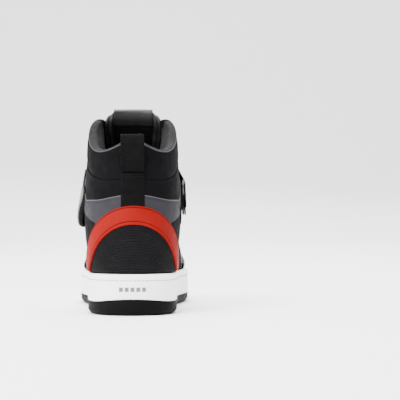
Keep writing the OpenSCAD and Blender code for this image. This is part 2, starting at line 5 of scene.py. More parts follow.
import bmesh
import bpy
import numpy as np
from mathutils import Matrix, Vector


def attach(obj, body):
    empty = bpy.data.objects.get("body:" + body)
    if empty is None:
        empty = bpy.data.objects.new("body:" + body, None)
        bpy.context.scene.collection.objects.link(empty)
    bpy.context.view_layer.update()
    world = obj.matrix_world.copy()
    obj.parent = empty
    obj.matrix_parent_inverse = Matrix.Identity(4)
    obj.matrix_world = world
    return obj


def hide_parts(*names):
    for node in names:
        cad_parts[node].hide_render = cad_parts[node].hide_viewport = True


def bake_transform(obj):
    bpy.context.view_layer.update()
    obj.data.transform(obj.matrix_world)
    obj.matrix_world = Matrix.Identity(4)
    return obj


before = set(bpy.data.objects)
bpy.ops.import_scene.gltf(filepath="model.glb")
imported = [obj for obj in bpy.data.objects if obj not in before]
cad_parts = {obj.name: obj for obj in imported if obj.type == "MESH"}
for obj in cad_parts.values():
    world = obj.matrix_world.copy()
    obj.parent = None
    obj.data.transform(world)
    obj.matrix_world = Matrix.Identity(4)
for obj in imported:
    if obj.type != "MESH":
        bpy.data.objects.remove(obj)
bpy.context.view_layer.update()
MM = 0.001

# ---- stage, camera and light


def new_object(name, data):
    """A new object in the scene."""
    obj = bpy.data.objects.new(name, data)
    bpy.context.scene.collection.objects.link(obj)
    return obj


camera = new_object("camera", bpy.data.cameras.new("camera"))
camera.data.sensor_width = 36
camera.data.lens = 141.8
camera.location = (-0.0015, -1.6, 0.107)
camera.rotation_euler = (math.radians(90), 0, math.radians(-2.456))
camera.data.clip_start, camera.data.clip_end = 0.05, 60
bpy.context.scene.camera = camera

for name, spot, size, watts in (("key", (-1.1, -1.6, 1.6), 1.2, 125), ("top", (0.0, 0.2, 2.2), 1.8, 125),
                                ("left", (-2.0, -0.3, 0.7), 1.2, 32), ("right", (2.0, 0.4, 0.9), 1.2, 6),
                                ("front", (0.3, 2.3, 1.3), 1.6, 44)):
    lamp = bpy.data.lights.new(name, "AREA")
    lamp.shape, lamp.size, lamp.energy = "SQUARE", size, watts
    obj = new_object(name, lamp)
    obj.location = spot
    obj.rotation_euler = (Vector((0, 0, 0.1)) - Vector(spot)).to_track_quat("-Z", "Y").to_euler()
world = bpy.data.worlds.new("world")
world.use_nodes = True
sky = world.node_tree.nodes["Background"].inputs
sky[0].default_value, sky[1].default_value = (1, 1, 1, 1), 1.7
bpy.context.scene.world = world

# ---- materials


def material(name, colour, rough, spec=0.5, metal=0.0, vary=0.25, mottle=40.0, grain=None, weave=None, bump=0.12):
    """A procedural finish. grain is (cells per metre, depth) of a leather-like relief; weave is
    (warps per metre, wefts per metre, depth) of a cloth laid along the piece's own map."""
    mat = bpy.data.materials.new(name)
    mat.use_nodes = True
    tree = mat.node_tree
    shader = tree.nodes["Principled BSDF"]

    def put(sockets, values):
        """Sets sockets to numbers, or links them to other nodes' outputs."""
        for socket, value in zip(sockets, values):
            if isinstance(value, bpy.types.NodeSocket):
                tree.links.new(value, socket)
            else:
                socket.default_value = value

    def add(kind, **values):
        node = tree.nodes.new("ShaderNode" + kind)
        put([node.inputs[key.replace("_", " ")] for key in values], values.values())
        return node

    def noise(scale, detail=4.0):
        return add("TexNoise", Vector=where["Object"], Scale=scale, Detail=detail).outputs["Fac"]

    def ramp(value, lo, hi):
        return add("MapRange", Value=value, From_Min=0.3, From_Max=0.7, To_Min=lo, To_Max=hi).outputs["Result"]

    def maths(kind, *values, node="Math"):
        step = add(node)
        step.operation = kind
        put(step.inputs, values)
        return step.outputs[0]

    where = add("TexCoord").outputs
    factor = ramp(noise(mottle), 0.0, 1.0)
    if grain:
        per_m, depth = grain
        warp = add("TexNoise", Vector=where["Object"], Scale=per_m * 0.6).outputs["Color"]
        bent = maths("MULTIPLY_ADD", warp, (0.6 / per_m,) * 3, where["Object"], node="VectorMath")
        cells = add("TexVoronoi", Vector=bent, Scale=per_m)
        cells.feature = "SMOOTH_F1"
        far = cells.outputs["Distance"]
        height = maths("ADD", far, maths("MULTIPLY", noise(per_m * 4, 2.0), 0.35))
        factor = maths("MULTIPLY", factor, maths("SUBTRACT", 1.25, maths("MULTIPLY", far, 0.8)))
    elif weave:
        *per_m, depth = weave
        uv = add("SeparateXYZ", Vector=where["UV"]).outputs
        a, b = (maths("SINE", maths("MULTIPLY", uv[k], 2 * math.pi * per_m[k])) for k in (0, 1))
        woven = maths("ADD", maths("MULTIPLY", maths("MULTIPLY", a, b), 0.5), 0.5)
        height = maths("ADD", woven, maths("MULTIPLY", noise(2600, 3.0), 0.5))
        factor = maths("ADD", maths("MULTIPLY", factor, 0.45), maths("MULTIPLY", woven, 0.55))
    else:
        height, depth = noise(1500, 3.0), bump
    mix = add("Mix")
    mix.data_type = "RGBA"
    dark, pale = (tuple(min(1.0, c * share) for c in colour) for share in (1 - vary, 1 + vary))
    put([mix.inputs[key] for key in ("Factor", "A", "B")], (factor, (*dark, 1), (*pale, 1)))
    relief = add("Bump", Height=height, Strength=min(1.0, depth * 6), Distance=0.0004)
    rough = ramp(noise(mottle * 3.1), rough - 0.08, rough + 0.08)
    put([shader.inputs[key] for key in ("Base Color", "Roughness", "Normal", "Specular IOR Level", "Metallic")],
        (mix.outputs["Result"], rough, relief.outputs[0], spec, metal))
    return mat


# Each finish: the CAD material slot its pieces stand for, base colour, roughness and the rest of material()
FINISH = {
    "leather": ("black_leather", (0.0022, 0.0022, 0.0025), 0.5, dict(spec=0.08, grain=(1500, 0.1), vary=0.2)),
    "vamp_leather": ("black_leather", (0.0024, 0.0024, 0.0027), 0.5, dict(spec=0.1, grain=(1100, 0.07), vary=0.18)),
    "leather_soft": ("black_leather", (0.003, 0.003, 0.0034), 0.46, dict(spec=0.3, grain=(1100, 0.07), vary=0.18)),
    "nubuck": ("black_nubuck", (0.0019, 0.0018, 0.0025), 0.8, dict(spec=0.045, grain=(2600, 0.06), vary=0.3)),
    "grey": ("grey_leather", (0.0165, 0.0155, 0.0192), 0.65, dict(spec=0.1, grain=(2200, 0.07), vary=0.12)),
    # the wing's grey leather painted lighter for its rolled top edge: a painted highlight
    "grey_edge_highlight": ("grey_leather", (0.05, 0.048, 0.055), 0.55, dict(spec=0.2, grain=(2600, 0.04), vary=0.1)),
    "red": ("red_leather", (0.155, 0.0017, 0.0007), 0.6, dict(spec=0.07, grain=(1900, 0.06), vary=0.1)),
    "ribbed": ("ribbed_mesh", (0.002, 0.0018, 0.0024), 0.66, dict(spec=0.085, weave=(900, 900, 0.1), vary=0.35)),
    "lining": ("lining_mesh", (0.0012, 0.0012, 0.0013), 0.85, dict(spec=0.04, weave=(520, 520, 0.1), vary=0.3)),
    "sock": ("sock_fabric", (0.032, 0.032, 0.035), 0.85, dict(spec=0.1, weave=(700, 700, 0.08), vary=0.2)),
    # pad: the collar lining's fabric painted lighter than the lining deeper in, a painted sheen on the padded roll
    "pad": (None, (0.0092, 0.0092, 0.0094), 0.8, dict(spec=0.1, weave=(520, 520, 0.08), vary=0.2)),
    "tongue": ("tongue_fabric", (0.0004, 0.0004, 0.0005), 0.5, dict(spec=0.06, grain=(1400, 0.08), vary=0.25)),
    # the tongue's own fabric painted lighter on its side rolls: a painted sheen
    "tongue_roll_sheen": (None, (0.0028, 0.0028, 0.003), 0.45, dict(spec=0.22, grain=(1400, 0.08), vary=0.25)),
    "webbing": ("black_webbing", (0.0011, 0.0011, 0.0013), 0.8, dict(spec=0.06, weave=(620, 330, 0.16), vary=0.4)),
    "lace": ("black_lace", (0.0015, 0.0015, 0.0017), 0.8, dict(spec=0.1, weave=(520, 520, 0.18), vary=0.4)),
    "hook": ("hook_loop", (0.0028, 0.0028, 0.0028), 0.9, dict(spec=0.06, weave=(800, 800, 0.25), vary=0.5)),
    # black leather painted light grey for the topline piping: a painted highlight
    "piping": ("black_leather", (0.018, 0.018, 0.019), 0.5, dict(spec=0.25, grain=(2400, 0.05), vary=0.15)),
    "rubber": ("black_rubber", (0.0021, 0.0021, 0.0023), 0.65, dict(spec=0.045, grain=(3000, 0.04), vary=0.15)),
    "white": ("white_foam", (0.9, 0.9, 0.89), 0.5, dict(spec=0.25, vary=0.02, mottle=25, bump=0.05)),
    "badge": ("badge_grey", (0.13, 0.13, 0.128), 0.5, dict(spec=0.2, vary=0.05, bump=0.06)),
    # trim: the strap tab shell's own light grey; on side_trim the same light grey is a painted highlight
    "trim": ("light_trim", (0.088, 0.088, 0.085), 0.45, dict(spec=0.25, vary=0.06, bump=0.05)),
    "metal": ("dark_metal", (0.03, 0.03, 0.033), 0.35, dict(metal=0.8, vary=0.12, bump=0.02)),
    "thread": ("black_leather", (0.0018, 0.0018, 0.002), 0.7, dict(spec=0.15, weave=(900, 900, 0.2), vary=0.3)),
    "thread_red": ("red_leather", (0.022, 0.0012, 0.0008), 0.65, dict(spec=0.05, weave=(900, 900, 0.2), vary=0.2)),
    "thread_grey": ("grey_leather", (0.008, 0.0075, 0.0088), 0.65, dict(spec=0.12, weave=(900, 900, 0.2), vary=0.2)),
    "thread_white": ("white_foam", (0.45, 0.45, 0.44), 0.7, dict(spec=0.2, weave=(900, 900, 0.2), vary=0.1)),
    # hole: darker than the leather, painted shade inside the toe holes and the eyelets
    "hole": ("black_leather", (0.0008, 0.0008, 0.0008), 0.9, dict(spec=0.03, vary=0.3, bump=0.05)),
    "inner": (None, (0.012, 0.011, 0.0095), 0.8, dict(spec=0.1, vary=0.2, bump=0.1)),
    "foam": (None, (0.5, 0.5, 0.47), 0.85, dict(vary=0.1, bump=0.2)),
    "floor": (None, (0.95, 0.95, 0.95), 0.7, dict(spec=0.1, vary=0.004, mottle=3, bump=0.01)),
}
MAT = {name: material(name, colour, rough, **more) for name, (_, colour, rough, more) in FINISH.items()}

# ---- the upper's outer surface, as in the CAD source

HALF = np.array([
    [[0, -147, 20], [0, -149.5, 50], [0, -147.5, 82], [0, -141, 112], [0, -139, 138], [0, -142.5, 166]],
    [[25, -142, 20], [26, -143.5, 50], [26, -141, 82], [24.5, -135, 112], [24.5, -133, 136], [24.5, -135, 150]],
    [[41, -119, 20], [42, -119.5, 50], [42.5, -118, 82], [41.5, -113.5, 110], [41.5, -111, 136], [40, -111, 153.5]],
    [[39.5, -84, 20], [42.5, -84, 50], [47.5, -82.5, 80], [47.5, -80, 108], [44.6, -78.5, 140], [43, -78, 172]],
    [[38, -48, 20], [41.5, -49, 48], [47, -51, 78], [46.5, -53.5, 108], [42.5, -54, 145], [38.5, -52, 185]],
    [[38.5, -15, 20], [41.5, -17, 46], [44, -22, 74], [42, -28, 104], [36.5, -33, 145], [30.2, -34, 188]],
    [[41.5, 15, 20], [43.5, 12, 44], [43.5, 5, 70], [39, -3, 96], [33, -11, 124], [24.5, -18, 147]],
    [[47.8, 45, 20], [49.8, 41, 42], [47, 34, 64], [40.5, 26, 86], [31.5, 17, 105], [21, 10, 117]],
    [[52.3, 80, 20], [54.8, 77, 40], [49.5, 71, 57], [40, 63, 71], [29, 53, 84], [18, 44, 94]],
    [[41.8, 128, 21], [44.2, 128, 38], [38, 119, 53], [29, 106, 63], [20.5, 91, 71], [12.5, 76, 79]],
    [[0, 152, 24], [0, 156, 40], [0, 147, 56], [0, 126, 65], [0, 102, 71], [0, 80, 78]],
], float)
LEDGE = [3.2, 2.4, 1.4, 1.5, 2.2, 3, 3.8, 4.6, 4.8, 5.3, 5.8]
PANEL_T, OVERLAY_T, TUCK, TUCK_H, TOP, EDGE_ROW, TOE = 1.4, 1.5, 1.5, 3.0, 5.0, 4.2, 10.0


def lerp(a, b, t):
    return a + (b - a) * t


def smooth(t):
    t = np.clip(t, 0, 1)
    return t * t * (3 - 2 * t)


def centre_x(y):
    t = np.clip((y + 150) / 300, 0, 1)
    return -1.5 + t + 9.5 * np.clip((t - 0.45) / 0.55, 0, 1) ** 3


NET = np.zeros((20, 8, 3))
for i in range(20):
    pts = (HALF[i] if i <= 10 else HALF[20 - i]).copy()
    pts[:, 0] = pts[:, 0] * (-1 if i <= 10 else 1) + centre_x(pts[:, 1])
    NET[i, 1:7], NET[i, 0], NET[i, 7] = pts, 2 * pts[0] - pts[1], 2 * pts[5] - pts[4]


def basis(t, slope):
    if slope:
        return np.stack([-(1 - t) ** 2, 3 * t**2 - 4 * t, -3 * t**2 + 2 * t + 1, t**2], -1) / 2
    return np.stack([(1 - t) ** 3, 3 * t**3 - 6 * t**2 + 4, -3 * t**3 + 3 * t**2 + 3 * t + 1, t**3], -1) / 6


def arrays(*values):
    return np.broadcast_arrays(*(np.asarray(value, float) for value in values))


def surf(u, v, du=False, dv=False):
    u, v = arrays(u, v)
    i, j = np.floor(u).astype(int), np.clip(np.floor(v).astype(int), 0, 4)
    grid = NET[((i[..., None] + np.arange(4) + 39) % 20)[..., :, None], (j[..., None] + np.arange(4))[..., None, :]]
    return np.einsum("...a,...b,...abc->...c", basis(u - i, du), basis(v - j, dv), grid)


def unit(a):
    return a / np.maximum(np.linalg.norm(a, axis=-1, keepdims=True), 1e-9)


def outward(u, v):
    return unit(np.cross(surf(u, v, dv=True), surf(u, v, du=True)))


def midsole_top(y):
    return 38.4 - 4.4 * smooth((y + 110) / 110) + 3.5 * smooth((y - 85) / 60)


def ground(y):
    return 7 * np.clip((y - 92) / 58, 0, 1) ** 2


def rubber_top(y):
    return 9.5 + ground(y) + 3 * smooth((-20 - y) / 80) + 3 * np.clip((-125 - y) / 25, 0, 1) ** 2


def core_top(y):
    return 26 - 4 * smooth((y + 80) / 120) + 3 * smooth((y - 95) / 50)


def skin(u, v, d):
    p = surf(u, v)
    step = TUCK * smooth((midsole_top(p[..., 1]) + TUCK_H - p[..., 2]) / (TUCK_H - 0.5))
    return p + (np.asarray(d) - step)[..., None] * outward(u, v)


def solve(below, lo, hi, steps):
    """Where below() stops being true between lo and hi, by halving."""
    for _ in range(steps):
        mid = (lo + hi) / 2
        low = below(mid)
        lo, hi = np.where(low, mid, lo), np.where(low, hi, mid)
    return (lo + hi) / 2


def v_at_z(u, z):
    return solve(lambda v: surf(u, v)[..., 2] < z, 0.0, 5.0, 22)


def heel_arc(u):
    w = np.abs(u + 0.05)
    return 25 * w + 1.6 * w * w


def arch_outer_z(u):
    return 101.5 - 0.0098 * heel_arc(u) ** 2


def arch_inner_z(u):
    return 84 - 0.0126 * heel_arc(u) ** 2


def arch_mid_z(u):
    return (arch_outer_z(u) + arch_inner_z(u)) / 2


def seam_z(u):
    return 126 + 34 * smooth((heel_arc(u) - 30) / 110)


def wing_top_z(u):
    a = heel_arc(u)
    wing = 107 + 5 * (1 - smooth(a / 45)) + 12 * smooth((a - 68) / 26) + 0.45 * np.maximum(a - 86, 0)
    return np.minimum(wing, seam_z(u) - 7)


def wing_low_z(u):
    a = heel_arc(u)
    return 87 + np.where(a > 45, 0.26, 1.2) * (a - 45)


def base_v(u):
    return v_at_z(u, core_top(surf(u, 0.6)[..., 1]) + 2)


def rim_v(u, rise=0.6):
    return v_at_z(u, midsole_top(surf(u, 0.8)[..., 1]) + rise)


def wing_floor_v(u):
    low = v_at_z(u, np.maximum(arch_mid_z(u) + 0.4, wing_low_z(u)))
    return lerp(low, EDGE_ROW, smooth((np.abs(u) - 4.5) / 0.8))


def toe_side(u):
    return np.where(u > TOE, 20 - u, u)


# ---- mesh helpers


def make(name, verts, faces, mat, body="upper", replaces=None, slot=None, uv=None, closed=True,
         extra=(), face_mat=None):
    """A visible piece. It replaces the CAD node of its own name, if there is one, unless others are given."""
    replaces = replaces or [name] * (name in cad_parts)
    slot = slot or FINISH[mat][0]
    mesh = bpy.data.meshes.new(name)
    mesh.from_pydata((np.asarray(verts, float).reshape(-1, 3) * MM).tolist(), [], faces)
    if uv is not None:
        index = np.empty(len(mesh.loops), np.int32)
        mesh.loops.foreach_get("vertex_index", index)
        layer = mesh.uv_layers.new(name="UVMap")
        layer.data.foreach_set("uv", (np.asarray(uv, float).reshape(-1, 2) * MM)[index].astype(np.float32).ravel())
    for m in (mat, *extra):
        mesh.materials.append(MAT[m])
    if face_mat is not None:
        mesh.polygons.foreach_set("material_index", np.asarray(face_mat, np.int32))
    mesh.polygons.foreach_set("use_smooth", np.ones(len(mesh.polygons), bool))
    if closed:
        bm = bmesh.new()
        bm.from_mesh(mesh)
        bmesh.ops.recalc_face_normals(bm, faces=bm.faces)
        bm.to_mesh(mesh)
        bm.free()
    mesh.update()
    obj = new_object(name, mesh)
    if replaces:
        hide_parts(*replaces)
    if body:
        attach(obj, body)
    return obj


# The floor curves up behind the shoe
cove = [(-6000, 0), (2200, 0)] + [(2200 + 1600 * math.sin(a), 1600 - 1600 * math.cos(a))
                                  for a in np.linspace(0.05, math.pi / 2, 20)] + [(3800, 6000)]
faces = [(2 * i, 2 * i + 1, 2 * i + 3, 2 * i + 2) for i in range(len(cove) - 1)]
floor = make("floor", [(x, y, z) for y, z in cove for x in (-6000, 6000)], faces, "floor", body=None, closed=False)


def quads(n, m, first=0, wrap=False):
    rows = range(n if wrap else n - 1)
    return [(first + i * m + k, first + (i + 1) % n * m + k, first + (i + 1) % n * m + k + 1, first + i * m + k + 1)
            for i in rows for k in range(m - 1)]


def slab(outer, inner, wrap=False):
    """Vertices and faces of a closed solid between two grids of points."""
    n, m = outer.shape[:2]
    size = n * m
    faces = quads(n, m, 0, wrap) + [f[::-1] for f in quads(n, m, size, wrap)]
    rows = range(n if wrap else n - 1)
    for i in rows:
        j = (i + 1) % n
        faces.append((j * m, i * m, size + i * m, size + j * m))
        faces.append((i * m + m - 1, j * m + m - 1, size + j * m + m - 1, size + i * m + m - 1))
    if not wrap:
        for k in range(m - 1):
            faces.append((k, k + 1, size + k + 1, size + k))
            e = (n - 1) * m
            faces.append((e + k + 1, e + k, size + e + k, size + e + k + 1))
    return np.concatenate([outer.reshape(-1, 3), inner.reshape(-1, 3)]), faces


def arc_map(grid):
    """Lengths along and across a grid of points, in millimetres, as its own map."""
    steps, sideways = (np.linalg.norm(np.diff(grid, axis=k), axis=-1) for k in (0, 1))
    along = np.concatenate([np.zeros((1, grid.shape[1])), np.cumsum(steps, 0)])
    across = np.concatenate([np.zeros((grid.shape[0], 1)), np.cumsum(sideways, 1)], 1)
    mid = grid.shape[1] // 2
    return np.stack([np.repeat(along[:, mid:mid + 1], grid.shape[1], 1), across], -1)


def slab_piece(name, outer, inner, mat, wrap=False, **more):
    verts, faces = slab(outer, inner, wrap)
    uv = arc_map(outer)
    return make(name, verts, faces, mat, uv=np.concatenate([uv.reshape(-1, 2)] * 2), **more)


def with_ends(n, length, r):
    """Shares 0..1 along each length, with extra stations where a rolled edge bends, and the distance to the edge."""
    length = np.atleast_1d(np.asarray(length, float))[:, None]
    bend = np.array([0, 0.06, 0.22, 0.5, 1.0])
    edge = np.minimum(bend * r / length, 0.3 * bend)
    mid = np.linspace(0, 1, n + 1)[None, 1:-1]
    t = np.concatenate([edge, edge[:, -1:] + (1 - 2 * edge[:, -1:]) * mid, 1 - edge[:, ::-1]], 1)
    return t, np.minimum(t, 1 - t) * length


def roll(away, r):
    x = np.clip(away / r, 0, 1)
    return r * (1 - np.sqrt(np.maximum(0, 1 - (1 - x) ** 2)))


def between(us, low, high, t):
    """A grid over the surface, shares t of the way from low to high at each u."""
    return arrays(us[:, None], low[:, None] + (high - low)[:, None] * t)


def panel(name, u0, u1, lo, hi, d_in, d_out, mat, nu=60, nv=24, r=0.5, relief=None, **more):
    """A sewn panel on the surface with rolled edges. relief(u, v, t, p) adds to its outer depth."""
    width = np.linalg.norm(np.diff(surf(np.linspace(u0, u1, 40), 2.5), axis=0), axis=-1).sum()
    tu, away_u = with_ends(nu, width, r)
    us = lerp(u0, u1, tu[0])
    low, high = lo(us), hi(us)
    length = np.linalg.norm(surf(us, high) - surf(us, low), axis=-1) + 0.05
    t, away_v = with_ends(nv, length, r)
    u, v = between(us, low, high, t)
    drop = roll(np.minimum(away_v, away_u[0][:, None]), r)
    d = np.full(v.shape, float(d_out)) - drop
    if relief:
        d = d + relief(u, v, t, surf(u, v)) * np.clip(1 - drop / r, 0, 1)
    return slab_piece(name, skin(u, v, d), skin(u, v, np.full(v.shape, float(d_in))), mat, **more)


def distance(path):
    return np.concatenate([[0], np.cumsum(np.linalg.norm(np.diff(path, axis=0), axis=-1))])


def along_path(at, s, values):
    return np.stack([np.interp(at, s, values[:, k]) for k in range(3)], -1)


def turns(n):
    return np.linspace(0, 2 * math.pi, n, endpoint=False)


def rings(centre, normal, tilt, profile, sides):
    """Rings of points round a normal, for each (radius, height) of a profile."""
    side = unit(np.cross(normal, tilt))
    up = np.cross(side, normal)
    return [centre + normal * h + rad * (math.cos(a) * side + math.sin(a) * up)
            for rad, h in profile for a in turns(sides)]


def ring_faces(first, n, sides, closed=False, caps=False):
    """Faces between n rings of points that start at vertex first, and across the two end rings."""
    faces = [(first + i * sides + k, first + i * sides + (k + 1) % sides,
              first + (i + 1) % n * sides + (k + 1) % sides, first + (i + 1) % n * sides + k)
             for i in range(n if closed else n - 1) for k in range(sides)]
    if caps:
        faces += [tuple(range(first, first + sides))[::-1], tuple(range(first + (n - 1) * sides, first + n * sides))]
    return faces


def tube(name, path, radius, mat, sides=10, closed=False, **more):
    """A round cord along a path."""
    path = np.asarray(path, float)
    if closed:
        tangent = unit(np.roll(path, -1, 0) - np.roll(path, 1, 0))
    else:
        tangent = unit(np.gradient(path, axis=0))
    up = np.zeros_like(path)
    for i in range(len(path)):
        ref = np.array([0.13, 0.21, 1.0]) if i == 0 else up[i - 1]
        up[i] = ref - tangent[i] * (ref @ tangent[i])
        up[i] /= np.linalg.norm(up[i])
    side = np.cross(tangent, up)
    angle = turns(sides)
    wheel = np.cos(angle)[None, :, None] * side[:, None] + np.sin(angle)[None, :, None] * up[:, None]
    faces = ring_faces(0, len(path), sides, closed, caps=not closed)
    uv = np.stack(arrays(distance(path)[:, None], angle * radius), -1)
    return make(name, path[:, None] + radius * wheel, faces, mat, uv=uv, **more)


def stitches(name, lines, mat="thread", pitch=2.4, length=1.8, r=0.24, **more):
    """Rows of raised stitches. lines is a list of (points, normals)."""
    verts, faces, uvs = [], [], []
    ring = np.array([[math.cos(a), math.sin(a)] for a in turns(6)])
    along = np.array([-0.5, -0.36, 0.0, 0.36, 0.5])
    thick = np.array([0.35, 0.85, 1.0, 0.85, 0.35])[:, None, None] * r
    sink = np.array([-1.0, -0.25, 0.1, -0.25, -1.0])[:, None, None] * r
    for points, normals in lines:
        s = distance(points)
        at = np.linspace(0, s[-1], max(2, int(round(s[-1] / 0.5)) + 1))
        fine, nrm = along_path(at, s, points), unit(along_path(at, s, normals))
        for c in np.arange(pitch / 2, at[-1] - pitch / 2, pitch):
            span = c + along * length
            mid, up = along_path(span, at, fine), unit(along_path(span, at, nrm))
            side = unit(np.cross(unit(np.gradient(mid, axis=0)), up))
            body = (mid[:, None] + up[:, None] * (sink + thick * ring[None, :, 1:])
                    + side[:, None] * (thick * ring[None, :, :1]))
            faces += ring_faces(len(verts), 5, 6, caps=True)
            verts.extend(body.reshape(-1, 3).tolist())
            uvs.extend([[at_s, k * 0.3] for at_s in span for k in range(6)])
    return make(name, np.array(verts), faces, mat, uv=np.array(uvs), **more)


def on_skin(us, vs, d):
    us, vs = arrays(us, vs)
    return skin(us, vs, np.full(us.shape, float(d))), outward(us, vs)


def ribbon(name, path, across, width, thick, mat, crown=0.0, wrap=False, **more):
    """A flat tape: path points, unit width directions, its width (or one per point) and thickness."""
    path, across = np.asarray(path, float), unit(np.asarray(across, float))
    width = np.broadcast_to(np.asarray(width, float), (len(path),))
    tangent = unit(np.roll(path, -1, 0) - np.roll(path, 1, 0)) if wrap else unit(np.gradient(path, axis=0))
    normal = unit(np.cross(tangent, across))
    x = np.array([-1, -0.985, -0.94, -0.8, -0.55, -0.28, 0, 0.28, 0.55, 0.8, 0.94, 0.985, 1])
    prof = np.array([0.35, 0.75, 0.95, 1, 1, 1, 1, 1, 1, 1, 0.95, 0.75, 0.35])
    mid = path[:, None] + across[:, None] * (x[None, :, None] * width[:, None, None] / 2) \
        + normal[:, None] * (crown * (1 - x**2))[None, :, None]
    off = normal[:, None] * (thick / 2 * prof)[None, :, None]
    return slab_piece(name, mid + off, mid - off, mat, wrap=wrap, **more)


def spline(ctrl, t, closed=False):
    ctrl, t = np.asarray(ctrl, float), np.asarray(t, float)
    n = len(ctrl)
    j = np.floor(t).astype(int) if closed else np.clip(np.floor(t).astype(int), 0, n - 4)
    idx = j[:, None] + np.arange(4)
    return np.einsum("ia,iac->ic", basis(t - j, False), ctrl[idx % n if closed else idx])


def wave_noise(p, size, seed):
    """Smooth, fixed noise at points p, about -1 to 1, with features of the given size in millimetres."""
    rng = np.random.default_rng(seed)
    total = np.zeros(p.shape[:-1])
    for _ in range(7):
        k = rng.normal(size=3)
        k = k / np.linalg.norm(k) * 2 * math.pi / (size * rng.uniform(0.7, 1.5))
        total += np.sin(p @ k + rng.uniform(0, 6.28))
    return total / 3.2


def inflate(obj, pins, pressure, frames, cap, grow=0.0):
    """Swells a closed padded mesh as cloth under pressure, held where pins is 1, and applies the result."""
    group = obj.vertex_groups.new(name="pin")
    for w in sorted(set(np.round(pins, 2))):
        if w > 0:
            group.add([int(i) for i in np.nonzero(np.round(pins, 2) == w)[0]], float(w), "REPLACE")
    mod = obj.modifiers.new("Cloth", "CLOTH")
    s = mod.settings
    s.quality, s.mass, s.vertex_group_mass = 6, 0.25, "pin"
    s.use_pressure, s.uniform_pressure_force = True, pressure
    s.tension_stiffness = s.compression_stiffness = 12
    s.bending_stiffness = 0.3
    s.shrink_min = -grow
    s.effector_weights.gravity = 0
    mod.collision_settings.use_collision = False
    mod.point_cache.frame_end = frames
    rest = np.array([v.co for v in obj.data.vertices])
    for f in range(1, frames + 1):
        bpy.context.scene.frame_set(f)
    shown = obj.evaluated_get(bpy.context.evaluated_depsgraph_get())
    moved = np.array([v.co for v in shown.data.vertices]) - rest
    size = np.linalg.norm(moved, axis=1, keepdims=True)
    moved = moved * np.minimum(1, cap * MM / np.maximum(size, 1e-9))
    obj.modifiers.remove(mod)
    obj.vertex_groups.clear()
    obj.data.vertices.foreach_set("co", (rest + moved).astype(np.float32).ravel())
    obj.data.update()
    bpy.context.scene.frame_set(1)


# ---- sole

N_RING = 360  # points round the sole
WALL_Z = 32.0  # height at which the upper's surface sets the sole's outline
ring_u = np.linspace(0, 20, N_RING, endpoint=False)
ring_v = v_at_z(ring_u, WALL_Z)
ring_p, ring_n = surf(ring_u, ring_v), unit(outward(ring_u, ring_v) * [1, 1, 0])


def ledge(u):
    w = toe_side(np.mod(u, 20))
    i = np.floor(w).astype(int)
    idx = np.abs(i[..., None] + np.arange(-1, 3))
    idx = np.where(idx > 10, 20 - idx, idx)
    return np.einsum("...a,...a->...", basis(w - i, False), np.array(LEDGE)[idx])


ring_ledge = ledge(ring_u)


def sole_ring(inset, z):
    """One loop of the sole's wall: inset from its widest outline, at heights z."""
    p = ring_p + ring_n * (ring_ledge - inset)[:, None]
    p[:, 2] = z if np.ndim(z) else np.full(N_RING, float(z))
    return p


ring_y = sole_ring(0.0, 0)[:, 1]
z_low, z_rub, z_top = ground(ring_y), rubber_top(ring_y), midsole_top(ring_y)


def ladder(ring, m):
    """Fills a loop with rungs from the outer side to the inner side, heel to toe."""
    half = N_RING // 2
    left = ring[: half + 1]
    right = ring[(-np.arange(half + 1)) % N_RING]
    t = np.linspace(0, 1, m)[None, :, None]
    return left[:, None] * (1 - t) + right[:, None] * t


def wall(name, rows, mat, **more):
    grid = np.stack([sole_ring(inset, z) for inset, z in rows], 1)
    return make(name, grid, quads(*grid.shape[:2], 0, True), mat, closed=False, uv=arc_map(grid), **more)


# Outsole: bevelled side wall, and a floor with herringbone lugs that stay on the ground
wall("outsole_wall", [
    (5.2, z_low), (4.0, z_low + 0.05), (3.0, z_low + 0.45), (1.2, z_low + 2.3), (0.75, z_low + 3.0),
    (0.55, z_low + 3.3), (0.5, z_low + 3.6), (0.2, z_low + 3.9), (0.05, z_low + 4.5),
    (0.0, lerp(z_low + 4.5, z_rub, 0.5)), (0.05, z_rub - 0.8), (0.3, z_rub - 0.25), (0.9, z_rub),
    (4.0, z_rub), (9.0, z_rub)], "rubber", replaces=["outsole"])

tread = ladder(sole_ring(5.0, 0), 110)
tx, ty = tread[..., 0] - centre_x(tread[..., 1]), tread[..., 1]
half_w = np.maximum(np.abs(tx).max(1, keepdims=True), 1)
rim = np.minimum(1, (1 - np.abs(np.linspace(-1, 1, 110))[None, :]) * half_w / 3.5)
chevron = np.abs(np.mod((ty + 0.55 * np.abs(np.mod(tx + 9, 18) - 9)) / 7.5, 1) - 0.5) * 2
groove = smooth((0.42 - chevron) / 0.16) * smooth((rim - 0.55) / 0.3)
arch_cut = smooth((30 - np.abs(ty + 22)) / 9)
groove = np.maximum(groove * (1 - arch_cut), 0.55 * arch_cut * smooth((rim - 0.5) / 0.3))
groove *= smooth((ty + 143) / 5) * smooth((136 - ty) / 6)
tread[..., 2] = ground(ty) + 1.5 * groove
make("outsole_tread", tread, [f[::-1] for f in quads(*tread.shape[:2])], "rubber", closed=False, uv=arc_map(tread))

